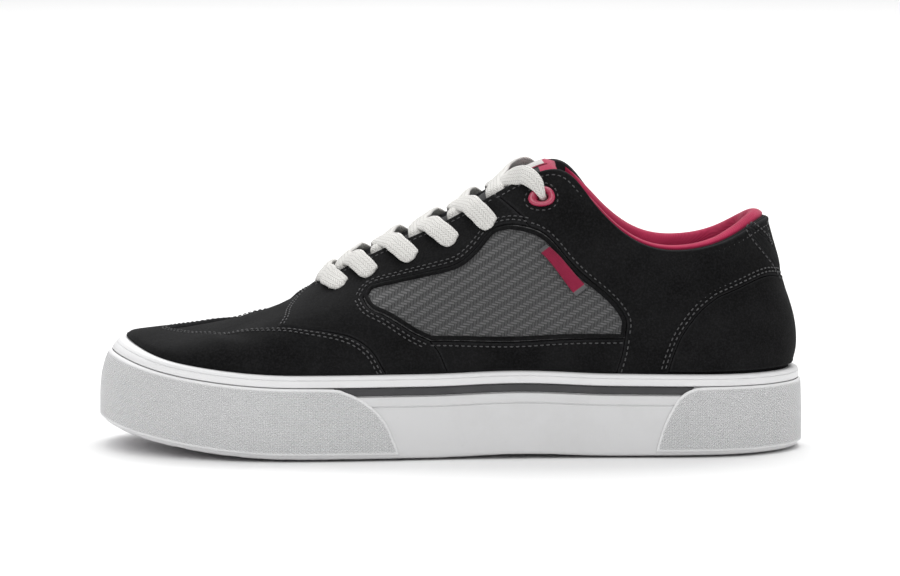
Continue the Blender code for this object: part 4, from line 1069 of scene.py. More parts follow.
@dataclass(frozen=True)
class Knurl(Rubber):
    """Rubber with fine diagonal ribs that cross, on the wall's own surface map, with painted shade
    in the valleys.
    """

    pitch: float = 0.00140
    depth: float = 0.00060
    tall: float = 1.35

    def build(self) -> bpy.types.Material:
        """Make the material: the lower of two crossing sets of ribs leaves small diamonds."""
        graph, skin = self.base()
        u, v = graph.parts(graph.surface())[:2]
        v = graph.maths("MULTIPLY", v, self.tall)
        turns = 2 * float(np.pi) / self.pitch
        waves = []
        for sign in ("ADD", "SUBTRACT"):
            slant = graph.maths(sign, u, v)
            wave = graph.maths("SINE", graph.maths("MULTIPLY", slant, turns * 0.7071))
            waves.append(graph.ramp(wave, -0.9, 0.7))
        height = graph.maths("MINIMUM", *waves)
        keep = graph.maths("MULTIPLY", height, graph.mark("knurl"))
        dark = graph.ramp(keep, 0.0, 0.6, 0.0, 1.0)
        # Painted shade: the valleys between the ribs are mixed towards the grime colour.
        valley_shade = graph.maths("MULTIPLY", graph.maths("SUBTRACT", 1.0, dark), graph.mark("knurl"))
        socket = graph.shader.inputs["Base Color"]
        top = socket.links[0].from_socket
        colour = graph.blend(graph.maths("MULTIPLY", valley_shade, 0.6), top, self.grime)
        return graph.finish(Base_Color=colour, Normal=graph.bump(keep, self.depth, 0.9, skin))


@dataclass(frozen=True)
class Tread(Rubber):
    """Rubber with a fine zigzag tread, on the object's own coordinates from below."""

    pitch: float = 0.0052
    depth: float = 0.0011

    def build(self) -> bpy.types.Material:
        """Make the material: lines along the shoe that zigzag across it."""
        graph, skin = self.base()
        x, y, _ = graph.parts(graph.place())[:3]
        zig = graph.maths("PINGPONG", y, self.pitch)
        line = graph.maths("SINE", graph.maths(
            "MULTIPLY", graph.maths("ADD", x, zig), 2 * float(np.pi) / self.pitch))
        height = graph.ramp(line, -0.75, -0.25)
        return graph.finish(Normal=graph.bump(height, self.depth, 0.9, skin))


@dataclass(frozen=True)
class Cloth:
    """Fine woven or brushed textile with a ribbed thread along its own map and painted shade in
    its grooves.
    """

    name: str
    colour: Colour
    shade: Colour
    thread: float = 0.0006
    depth: float = 0.00012
    sheen: float = 0.2

    def build(self) -> bpy.types.Material:
        """Make the material: two crossing sine ribs and a soft fuzz."""
        graph = Graph(self.name)
        place = graph.place()
        x, y, z = graph.parts(place)[:3]
        turns = 2 * float(np.pi) / self.thread
        first = graph.maths("SINE", graph.maths("MULTIPLY", graph.maths("ADD", x, y), turns))
        second = graph.maths("SINE", graph.maths("MULTIPLY", z, turns))
        height = graph.ramp(graph.maths("MULTIPLY", first, second), -0.9, 0.9)
        cloud = graph.ramp(graph.noise(place, 70.0, 4.0, 0.6), 0.3, 0.75)
        # The shade colour falls partly in the grooves between the ribs, painted shade, and partly
        # in random cloudy patches of tone.
        mixed = graph.maths("ADD", graph.maths("MULTIPLY", height, 0.45),
                            graph.maths("MULTIPLY", cloud, 0.55))
        colour = graph.blend(mixed, self.shade, self.colour)
        fuzz = graph.bump(graph.noise(place, 2400.0, 2.0), 0.0001, 0.5)
        return graph.finish(Base_Color=colour, Roughness=0.85, Sheen_Weight=self.sheen,
                            Sheen_Roughness=0.4, Specular_IOR_Level=0.25,
                            Normal=graph.bump(height, self.depth, 0.8, fuzz))


@dataclass(frozen=True)
class Braid:
    """A flat braided lace: rows of slanted plaits along its own map, with painted shade in their
    grooves.
    """

    name: str = "lace braid"
    colour: Colour = (0.87, 0.86, 0.83)
    shade: Colour = (0.50, 0.485, 0.46)
    strand: float = 0.00155
    depth: float = 0.00042

    def build(self) -> bpy.types.Material:
        """Make the material: chevrons, from the run along the lace and the place across it."""
        graph = Graph(self.name)
        u, v = graph.parts(graph.surface())[:2]
        column = graph.maths("PINGPONG", v, self.strand)
        slant = graph.maths("ADD", u, graph.maths("MULTIPLY", column, 1.1))
        ribs = graph.maths("SINE", graph.maths("MULTIPLY", slant, 2 * float(np.pi) / 0.0013))
        groove = graph.maths("SINE", graph.maths(
            "MULTIPLY", graph.maths("DIVIDE", v, self.strand), float(np.pi)))
        groove = graph.ramp(graph.maths("ABSOLUTE", groove), 0.0, 0.5)
        height = graph.maths("MULTIPLY", graph.ramp(ribs, -0.9, 0.6, 0.45, 1.0),
                             graph.ramp(groove, 0.0, 1.0, 0.45, 1.0))
        cloud = graph.ramp(graph.noise(graph.place(), 160.0, 4.0, 0.6), 0.3, 0.75, 0.82, 1.0)
        # Painted shade: the colour darkens to the shade colour in the grooves between the plaits,
        # under a faint random cloud.
        colour = graph.blend(graph.maths("MULTIPLY", graph.ramp(height, 0.15, 0.8), cloud),
                             self.shade, self.colour)
        fuzz = graph.bump(graph.noise(graph.place(), 2800.0, 2.0), 0.00008, 0.5)
        return graph.finish(Base_Color=colour, Roughness=0.85, Sheen_Weight=0.15,
                            Specular_IOR_Level=0.25,
                            Normal=graph.bump(height, self.depth, 0.75, fuzz))


@dataclass(frozen=True)
class Gloss:
    """Glossy enamel on a small pressed ring."""

    name: str = "crimson enamel"
    colour: Colour = (0.42, 0.032, 0.090)

    def build(self) -> bpy.types.Material:
        """Make the material."""
        graph = Graph(self.name)
        place = graph.place()
        cloud = graph.ramp(graph.noise(place, 300.0, 3.0), 0.3, 0.7)
        colour = graph.blend(cloud, self.colour, (0.44, 0.016, 0.070))
        rough = graph.ramp(graph.noise(place, 700.0, 3.0), 0.3, 0.7, 0.16, 0.28)
        return graph.finish(Base_Color=colour, Roughness=rough, Coat_Weight=0.9,
                            Coat_Roughness=0.12,
                            Normal=graph.bump(graph.noise(place, 500.0, 2.0), 0.00004, 0.4))


@dataclass(frozen=True)
class Thread:
    """Twisted grey sewing thread."""

    name: str = "grey thread"
    colour: Colour = (0.085, 0.085, 0.088)
    shade: Colour = (0.030, 0.030, 0.032)

    def build(self) -> bpy.types.Material:
        """Make the material."""
        graph = Graph(self.name)
        fleck = graph.ramp(graph.noise(graph.place(), 3000.0, 2.0), 0.3, 0.7)
        return graph.finish(Base_Color=graph.blend(fleck, self.shade, self.colour), Roughness=0.6,
                            Sheen_Weight=0.2, Normal=graph.bump(fleck, 0.0001, 0.6))


class Finishes:
    """Every material of the shoe, each made once."""

    def __init__(self) -> None:
        """Build the materials."""
        white, grime = (0.735, 0.735, 0.74), (0.50, 0.49, 0.48)
        self.suede = Suede().build()
        self.weave = Weave().build()
        self.white = Rubber("white rubber", white, grime, 0.48, 0.22).build()
        # The strip gets a lighter copy of the wall's white rubber: painted light on the top band.
        self.tape = Rubber("white foxing rubber with painted top light", (0.86, 0.86, 0.865), grime, 0.42, 0.18).build()
        # The knurled rubber's grime colour is also its painted valley shade.
        self.grip = Knurl("knurled rubber", (0.86, 0.86, 0.865), (0.56, 0.56, 0.57), 0.52,
                          0.22).build()
        self.tread = Tread("tread rubber", (0.74, 0.72, 0.74), (0.42, 0.40, 0.42), 0.6,
                           0.45).build()
        self.charcoal = Rubber("charcoal rubber", (0.050, 0.050, 0.053), (0.12, 0.12, 0.12), 0.5,
                               0.3).build()
        self.lining = Cloth("crimson lining", (0.54, 0.028, 0.100), (0.32, 0.014, 0.054),
                            0.0009).build()
        self.tag = Cloth("crimson woven tag", (0.38, 0.020, 0.070), (0.16, 0.009, 0.030), 0.0007,
                         0.0002, 0.1).build()
        self.fold = Cloth("grey tag fold", (0.16, 0.16, 0.165), (0.08, 0.08, 0.083), 0.0005,
                          0.0001, 0.1).build()
        self.pale = Cloth("pale woven label", (0.70, 0.68, 0.66), (0.52, 0.50, 0.49), 0.0005,
                          0.0001, 0.1).build()
        self.inner = Cloth("charcoal inner lining", (0.040, 0.040, 0.043), (0.018, 0.018, 0.020),
                           0.0011, 0.0002).build()
        self.insole = Cloth("dark foot bed cloth", (0.075, 0.075, 0.080), (0.035, 0.035, 0.038),
                            0.0012, 0.0002).build()
        self.tongue = Cloth("black tongue mesh", (0.024, 0.024, 0.026), (0.009, 0.009, 0.010),
                            0.0013, 0.0003).build()
        self.braid = Braid().build()
        self.gloss = Gloss().build()
        self.thread = Thread().build()


def place_piece(piece: bpy.types.Object, slot: str, *nodes: str) -> bpy.types.Object:
    """Ride a piece on the shoe and hide the solids it stands for."""
    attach(piece, "root")
    if nodes:
        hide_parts(*nodes)
    return piece


# Sizes and places of the dressed pieces
EYELET_ROWS = (0.115, 0.262, 0.420, 0.580, 0.735)
EYELET_UP = 0.86
TOP_EYELET_ROW = 0.955
TOP_LACE_ROW = 0.920
TOP_EYELET_UP = 0.865
BAR_MIDDLE = 0.075
LACE_HOLE = 0.0024
EYELET_LENGTH = 0.0112
EYELET_WIDTH = 0.0086
EYELET_BORE = 0.0052
EYELET_BORE_WIDTH = 0.8 * EYELET_BORE
BORE_SIDES = 28
HOLE_SIDES = 14
SUEDE_THICKNESS = 0.0013
GUARD_THICKNESS = 0.0016
PANEL_THICKNESS = 0.0005
EDGE_THIN = 0.30
CUT_EDGE = 0.0009
COLLAR_TOP = 0.985
COLLAR_SKIN = 0.0020
COLLAR_GATHER = 0.00022
TONGUE_FROM = 0.03
TONGUE_CROWN = 0.0036
TONGUE_HALF = 0.0025
TONGUE_HUMP = 0.0006
LABEL_SIZE = 0.010
LABEL_BORDER = 0.0011
LABEL_END = 0.96
PIPING_RADIUS = 0.0009
PIPING_LIFT = 0.0010
PIPING_STEP = 0.0011
PIPING_SIDES = 8
EDGE_UP = 0.075
LOWER_STRIP_FROM = 0.64
STRIPE_FROM = 0.75
STRIPE_TO = 0.865
STRIP_PROUD = 0.0003
STRIPE_DEPTH = 0.0012
OUTSOLE_THICKNESS = 0.0032
OUTSOLE_BORDER = 0.0032
OUTSOLE_REVEAL = 0.0010
SOLE_STEPS = 480
WALL_SCALE = np.array([0.76, 0.036])
BRIDGE_SCALE = np.array([SOLE_LENGTH * 0.38, 0.044])
TOE_BUMPER_SIDE = (
    Guard(0.569, EDGE_UP), Guard(0.579, 0.290), Guard(0.588, 0.454), Guard(0.604, 0.617),
    Guard(0.623, 0.735), Guard(0.642, 0.810), Guard(0.665, 0.856), Guard(0.750, 0.863),
    Guard(0.850, 0.863), Guard(0.950, 0.863),
)
TOE_BUMPER_MIDDLE = 0.863
HEEL_BUMPER_SIDE = (
    Guard(0.213, EDGE_UP), Guard(0.208, 0.240), Guard(0.200, 0.437), Guard(0.189, 0.617),
    Guard(0.179, 0.745), Guard(0.163, 0.830), Guard(0.140, 0.861), Guard(0.050, 0.863),
)
HEEL_BUMPER_MIDDLE = 0.863
STRIPE_ENDS = (0.157, 0.662)


def flat_metric(around: float, up: float) -> tuple[Array, Array]:
    """The skin's steps for a full share round and up at one place."""
    way, rise = LAST.ways(np.array([around]), np.array([up]))
    return way[0], rise[0]


def oval(around: float, up: float, length: float, width: float, sides: int) -> Array:
    """Outline of an oval on the upper, as shares round and up, long along the throat.

    Args:
        around: Share round the shoe of its middle.
        up: Share up the rib of its middle.
        length: Its length along the throat.
        width: Its width.
        sides: Number of corners.

    Returns:
        Its corners: each offset in space is solved for the two shares by the skin's metric.
    """
    way, rise = flat_metric(around, up)
    metric = np.array([[way @ way, way @ rise], [way @ rise, rise @ rise]])
    along = unit(way)
    across = unit(rise - (rise @ along) * along)
    cosine, sine = circle(sides)
    ring = (cosine[:, None] * along * length + sine[:, None] * across * width) / 2
    shares = np.linalg.solve(metric, np.stack([ring @ way, ring @ rise]))
    return np.array([around, up]) + shares.T


def lace_holes(side: Side) -> list[Array]:
    """The punched holes of one side."""
    shares = [on_side(float(LAST.throat_share(row)), side) for row in EYELET_ROWS]
    return [oval(share, EYELET_UP, LACE_HOLE, LACE_HOLE, HOLE_SIDES) for share in shares]


def top_place(side: Side) -> float:
    """Share round the shoe of a top eyelet."""
    return on_side(float(LAST.throat_share(TOP_EYELET_ROW)), side)


def top_hole(side: Side) -> Array:
    """The bore of a top eyelet."""
    return oval(top_place(side), TOP_EYELET_UP, EYELET_BORE, EYELET_BORE_WIDTH, BORE_SIDES)


def line_up(around_from: float, around_to: float, up: float, count: int) -> Array:
    """A run at one height between two shares round the shoe."""
    return np.stack([np.linspace(around_from, around_to, count), np.full(count, up)], axis=-1)


def side_run(seam: Sequence[Seam], side: Side, count: int) -> Array:
    """A smooth seam of one side, held between foxing and edge."""
    run = through(LAST.seat(seam, side), count)
    run[:, 1] = np.clip(run[:, 1], LOW_EDGE, 1.0)
    return run


def heel_run(seam: Sequence[Seam], side: Side, count: int) -> Array:
    """A seam that starts in the corner at the back; one that rises ends on the collar's edge."""
    places = LAST.seat(seam, side)
    corner = [on_side(HEEL_CORNER[0], side), HEEL_CORNER[1]]
    run = through(np.concatenate([[corner], places]), count)
    if run[-1, 1] > HEEL_CORNER[1]:
        run[-1, 1] = 1.0
    run[:, 1] = np.clip(run[:, 1], LOW_EDGE, 1.0)
    return run


@dataclass
class Panel:
    """A piece laid on a surface: a closed outline of shares, with a rounded, lighter edge."""

    name: str
    outline: Array
    thickness: float
    material: bpy.types.Material
    holes: Sequence[Array] = ()
    spacing: float = 0.0026
    rings: tuple[float, ...] = (0.0004, 0.0010, 0.0020)
    radius: float = 0.0010
    scale: Array = None
    low: float = SKIN_GAP
    surface: Callable[[Array, Array, Array], Array] = LAST.point
    puff: float = 0.0
    knurl: bool = False

    def build(self, slot: str, *nodes: str) -> bpy.types.Object:
        """Make the panel.

        The outer face stands off by the thickness times a quarter round of the distance from
        the edge, sinks a little where the seam holds it and swells past that.

        Args:
            slot: The record's material slot; not used.
            nodes: The solids it stands for.

        Returns:
            The new object.
        """
        scale = UPPER_SCALE if self.scale is None else self.scale
        places, tris, clear = fill(
            self.outline * scale, [hole * scale for hole in self.holes], self.spacing, self.rings)
        around, up = (places / scale).T
        share = EDGE_THIN + (1 - EDGE_THIN) * edge_round(clear, self.radius)
        swell = self.puff * (smooth_step((clear - 0.002) / 0.006)
                             - 0.6 * np.exp(-((clear - 0.0022) / 0.0009) ** 2))
        high = self.low + self.thickness * share + swell
        over = self.surface(around, up, high)
        under = self.surface(around, up, self.low)
        uv = np.column_stack([LAST.run(around), up * scale[1]])
        marks = {"edge": np.tile(np.clip(1 - clear / CUT_EDGE, 0, 1), 2)}
        if self.knurl:
            marks["knurl"] = np.tile(smooth_step((clear - 0.0008) / 0.0006), 2)
        made = add_piece(self.name, np.concatenate([over, under]), shell_faces(tris, len(over)),
                         [self.material], np.concatenate([uv, uv]), marks, sharp=60.0)
        return place_piece(made, slot, *nodes)


@dataclass
class Upper:
    """Body, overlays and panels of the upper, with the seams that are sewn later."""

    finishes: Finishes
    cap_seam: Array = None
    lead_seam: Array = None

    def build(self) -> None:
        """Make every piece of the upper."""
        self.body()
        self.toe_cap()
        self.eyestay()
        for side in Side:
            self.flanks(side)
        self.heel()

    def body(self) -> None:
        """The lasted body: one wall with all its holes, its inner face lined with textile."""
        holes = lace_holes(Side.LATERAL) + lace_holes(Side.MEDIAL)
        holes += [top_hole(side) for side in Side]
        corners = np.array([[0.0, -1.0], [1.0, -1.0], [1.0, 1.0], [0.0, 1.0]]) * UPPER_SCALE
        places, tris, clear = fill(corners, [hole * UPPER_SCALE for hole in holes], 0.0030,
                                   (), gap=0.0)
        around, up = (places / UPPER_SCALE).T
        left = np.flatnonzero(np.abs(around) < 1e-6)
        right = np.flatnonzero(np.abs(around - 1) < 1e-6)
        same = np.arange(len(places))
        same[right] = left[np.abs(up[right][:, None] - up[left][None]).argmin(axis=1)]
        tris = same[tris]
        used, tris = np.unique(tris, return_inverse=True)
        tris = tris.reshape(-1, 3)
        around, up, clear = around[used], up[used], clear[used]
        from_edge = np.minimum(np.abs(1 - up) * UPPER_SCALE[1], 0.02)
        over = LAST.point(around, up, -0.0003 * (1 - edge_round(from_edge, 0.001)))
        under = LAST.point(around, up, -UPPER_WALL)
        faces = shell_faces(tris, len(over))
        slots = np.repeat([0, 1, 0], [len(table) for table in faces])
        rim = np.tile(np.clip(1 - from_edge / CUT_EDGE, 0, 1), 2)
        made = add_piece("upper_body", np.concatenate([over, under]), faces,
                         [self.finishes.suede, self.finishes.inner], marks={"edge": rim},
                         slots=slots, sharp=60.0)
        place_piece(made, "black_suede", "upper")

    def toe_cap(self) -> None:
        """The mudguard round the toe."""
        lateral, medial = (LAST.seat(TOE_CAP_SIDE, side) for side in Side)
        top = through(np.concatenate([lateral[::-1], [[TOE, TOE_CAP_MIDDLE]], medial]), 150)
        top[:, 1] = np.maximum(top[:, 1], LOW_EDGE)
        low = line_up(medial[-1, 0], lateral[-1, 0], LOW_EDGE, 40)[1:-1]
        self.cap_seam = top
        Panel("toe_guard", np.concatenate([top, low]), GUARD_THICKNESS, self.finishes.suede,
              puff=0.0003).build("black_suede", "toe_cap")

    def eyestay(self) -> None:
        """One piece round the throat that widens into the two front quarters."""
        halves = []
        for side in Side:
            runs = [side_run(QUARTER_UPPER, side, 12), side_run(PANEL_TOP, side, 60)[::-1],
                    side_run(PANEL_FRONT, side, 24), side_run(BAND_FRONT, side, 12)]
            cap = side_run(TOE_CAP_SIDE, side, 80)
            lead = side_run(LEADING_SIDE, side, 4)
            beyond = np.abs(cap[:, 0] - TOE) > abs(lead[-1, 0] - TOE) + 0.002
            halves.append((runs, cap[beyond][::-1], lead))
        (runs_l, below_l, lead_l), (runs_m, below_m, lead_m) = halves
        front = through(np.concatenate([lead_l[::-1], [[TOE, LEADING_MIDDLE]], lead_m]), 60)
        self.lead_seam = front
        rim = line_up(runs_m[0][0, 0], runs_l[0][0, 0], 1.0, 90)
        outline = np.concatenate([
            rim[:-1], *[run[:-1] for run in runs_l], runs_l[-1][-1:], below_l, front,
            below_m[::-1], runs_m[-1][::-1][:-1], *[run[::-1][:-1] for run in runs_m[-2::-1]],
        ])
        holes = lace_holes(Side.LATERAL) + lace_holes(Side.MEDIAL)
        Panel("eyestay_and_front_quarters", outline, SUEDE_THICKNESS, self.finishes.suede, holes,
              puff=0.0002).build("black_suede", "eyestay")

    def flanks(self, side: Side) -> None:
        """Woven panel, lower band and rear quarter of one side."""
        name, suede = side.value, self.finishes.suede
        panel = [side_run(PANEL_TOP, side, 60), side_run(QUARTER_MIDDLE, side, 50),
                 side_run(PANEL_FOOT, side, 30)[::-1], side_run(PANEL_FRONT, side, 24)[::-1]]
        outline = np.concatenate([run[:-1] for run in panel])
        Panel("woven_panel_" + name, outline, PANEL_THICKNESS, self.finishes.weave).build(
            "grey_weave", "side_panel_" + name)
        self.piping(outline, name)
        band = [side_run(PANEL_FOOT, side, 30), side_run(QUARTER_LOWER, side, 12),
                side_run(BAND_FRONT, side, 12)[::-1]]
        foot = line_up(band[1][-1, 0], band[2][0, 0], LOW_EDGE, 30)
        Panel("suede_band_" + name,
              np.concatenate([band[0][:-1], band[1], foot[1:-1], band[2][:-1]]),
              SUEDE_THICKNESS, suede, puff=0.0002).build("black_suede", "lower_band_" + name)
        front = [side_run(QUARTER_UPPER, side, 14), side_run(QUARTER_MIDDLE, side, 50),
                 side_run(QUARTER_LOWER, side, 12)]
        back = [heel_run(COUNTER_SIDE, side, 50)[::-1], heel_run(TAB_SIDE[::-1], side, 20)]
        foot = line_up(front[-1][-1, 0], back[0][0, 0], LOW_EDGE, 30)[1:-1]
        rim = line_up(back[1][-1, 0], front[0][0, 0], 1.0, 80)
        outline = np.concatenate(
            [*[run[:-1] for run in front], front[-1][-1:], foot, back[0][:-1], back[1][:-1],
             rim[:-1]])
        Panel("suede_quarter_" + name, outline, SUEDE_THICKNESS, suede, [top_hole(side)],
              puff=0.0002).build("black_suede", "rear_quarter_" + name)

    def piping(self, outline: Array, name: str) -> None:
        """A raised black cord round the woven panel's edge.

        The cord runs along the outline moved inwards by its radius; its round section is
        spanned by the skin's normal and the direction across the run.
        """
        inset = SEAM_GAP + PIPING_RADIUS * 1.3
        loop = resample(shrink(outline * UPPER_SCALE, inset), PIPING_STEP)
        around, up = (loop / UPPER_SCALE).T
        middle = LAST.point(around, up, PIPING_LIFT)
        normal = LAST.normal(around, up)
        way = unit(np.roll(middle, -1, axis=0) - np.roll(middle, 1, axis=0))
        side = unit(np.cross(normal, way))
        cosine, sine = circle(PIPING_SIDES)
        ring = (cosine[None, :, None] * side[:, None]
                + sine[None, :, None] * normal[:, None] * 0.9) * PIPING_RADIUS
        points = (middle[:, None] + ring).reshape(-1, 3)
        made = add_piece("panel_piping_" + name, points,
                         grid_faces(len(middle), PIPING_SIDES, True, True),
                         [self.finishes.suede], marks={"edge": np.zeros(len(points))})
        place_piece(made, "black_suede")

    def heel(self) -> None:
        """Counter and tab, each in one piece round the back of the heel."""
        corner = HEEL_CORNER[0]
        across = line_up(corner, -corner, HEEL_CORNER[1], 9)[1:-1]
        for name, node, seam, thickness, count in (
            ("suede_counter", "heel_counter", COUNTER_SIDE, GUARD_THICKNESS, 50),
            ("suede_heel_tab", "heel_tab", TAB_SIDE[::-1], SUEDE_THICKNESS, 20),
        ):
            lateral, medial = (heel_run(seam, side, count) for side in Side)
            medial[:, 0] -= 1
            end = line_up(medial[-1, 0], lateral[-1, 0], lateral[-1, 1], 40)[1:-1]
            outline = np.concatenate([lateral[::-1], across, medial, end])
            Panel(name, outline, thickness, self.finishes.suede, puff=0.0003).build(
                "black_suede", node)


@dataclass
class Padding:
    """The padded collar lining and the padded tongue with its plain label."""

    finishes: Finishes

    def build(self) -> None:
        """Make the padded pieces."""
        self.collar()
        self.tongue()
        self.label()

    def collar(self) -> None:
        """The roll inside the collar: a closed section swept round the heel.

        Each row of the section is a height up the rib and a depth inside the skin. Towards the
        throat's peaks the section shrinks towards the top of the wall. Shallow waves along the
        inner face stand for the gathers of the textile.
        """
        section = np.array([
            (0.420, 0.0024), (0.550, 0.0021), (0.700, 0.0020), (0.850, 0.0020), (0.960, 0.0020),
            (0.990, 0.0019), (1.006, 0.0014), (1.018, 0.0016), (1.028, 0.0030), (1.030, 0.0048),
            (1.020, 0.0066), (0.995, 0.0080), (0.955, 0.0090), (0.890, 0.0096), (0.800, 0.0094),
            (0.700, 0.0084), (0.600, 0.0067), (0.500, 0.0046), (0.440, 0.0032),
        ])
        section = on_closed(closed_spline(section), np.linspace(0, 1, 49)[:-1])
        high, deep = section.T[:, None]
        reach = PEAK - 0.012
        around = np.linspace(reach, -reach, 261)[:, None]
        ends = smooth_step((reach - np.abs(around)) / 0.035)
        taper = 0.10 + 0.90 * ends
        up = COLLAR_TOP + (high - COLLAR_TOP) * np.maximum(taper, 0.12)
        depth = COLLAR_SKIN + (deep - COLLAR_SKIN) * taper
        inner = smooth_step((depth - 0.004) / 0.003)
        wave = np.sin(around * 190 + 2.0 * np.sin(up * 9)) + 0.6 * np.sin(around * 83 + up * 21)
        depth = depth + COLLAR_GATHER * wave * inner * ends
        rings = LAST.point(*np.broadcast_arrays(around, up), -depth)
        made = add_piece("collar_padding", *tube(rings, rings[[0, -1]].mean(axis=1)),
                         [self.finishes.lining], sharp=80.0)
        place_piece(made, "crimson_textile", "collar_lining")

    def tongue(self) -> None:
        """The tongue: a soft slab under the throat, fuller in the middle, with crimson edges.

        Over and under faces lie at lifts under the eyestay's wall. Their distance is a
        superellipse of the place across, so the edge is round; the far end is rounded in plan.
        """
        along = np.linspace(TONGUE_FROM, 1.0, 70)[:, None]
        side = np.sin(np.linspace(-np.pi / 2, np.pi / 2, 45))[None]
        narrow = 1 - 0.40 * np.clip((along - 0.86) / 0.14, 0, 1) ** 2
        across = side * narrow * 0.97
        full = (1 - np.abs(side) ** 6) ** 0.5
        start = smooth_step((along - TONGUE_FROM) / 0.03)
        start = start * smooth_step((1.0 - along) / 0.035 + 0.12)
        thick = TONGUE_HALF * full * np.maximum(start, 0.10)
        middle = -UPPER_WALL - 0.0020 - 0.0026
        hump = TONGUE_HUMP * np.cos(np.pi * side / 2) ** 2
        along = np.broadcast_to(along, across.shape)
        over = LAST.bridge(along, across, middle + thick + hump, TONGUE_CROWN)
        under = LAST.bridge(along, across, middle - thick, TONGUE_CROWN)
        rings = np.concatenate([over, under[:, ::-1][:, 1:-1]], axis=1)
        points, faces = tube(rings, rings[[0, -1]].mean(axis=1))
        rows, count = rings.shape[:2]
        place = np.concatenate([side[0], side[0][::-1][1:-1]])
        spot = faces[0][:, 0]
        bound = (np.abs(place[spot % count]) > 0.90) | (spot // count > rows - 7)
        slots = np.concatenate([bound.astype(int), np.zeros(count, int), np.ones(count, int)])
        made = add_piece("padded_tongue", points, faces,
                         [self.finishes.tongue, self.finishes.lining], slots=slots, sharp=80.0)
        place_piece(made, "black_suede", "tongue")

    def label(self) -> None:
        """A plain pale label with a crimson border, sewn on the tongue's end."""
        low = -UPPER_WALL - 0.0020 + 0.0007
        for name, grow, lift, material, slot, nodes in (
            ("label_border", LABEL_BORDER, low, self.finishes.lining, "crimson_textile", ()),
            ("label_face", 0.0, low + 0.0003, self.finishes.pale, "pale_textile",
             ("tongue_label",)),
        ):
            half = (LABEL_SIZE + grow) / BRIDGE_SCALE[1]
            start = LABEL_END - (LABEL_SIZE + grow) / BRIDGE_SCALE[0]
            end = LABEL_END + grow / BRIDGE_SCALE[0]
            along, across = np.meshgrid(
                np.linspace(start, end, 14), np.linspace(-half, half, 26), indexing="ij")
            over, under = (LAST.bridge(along, across, np.full_like(along, high), TONGUE_CROWN)
                           for high in (lift + 0.0003, lift))
            made = add_piece(name, *slab(over, under), [material])
            place_piece(made, slot, *nodes)


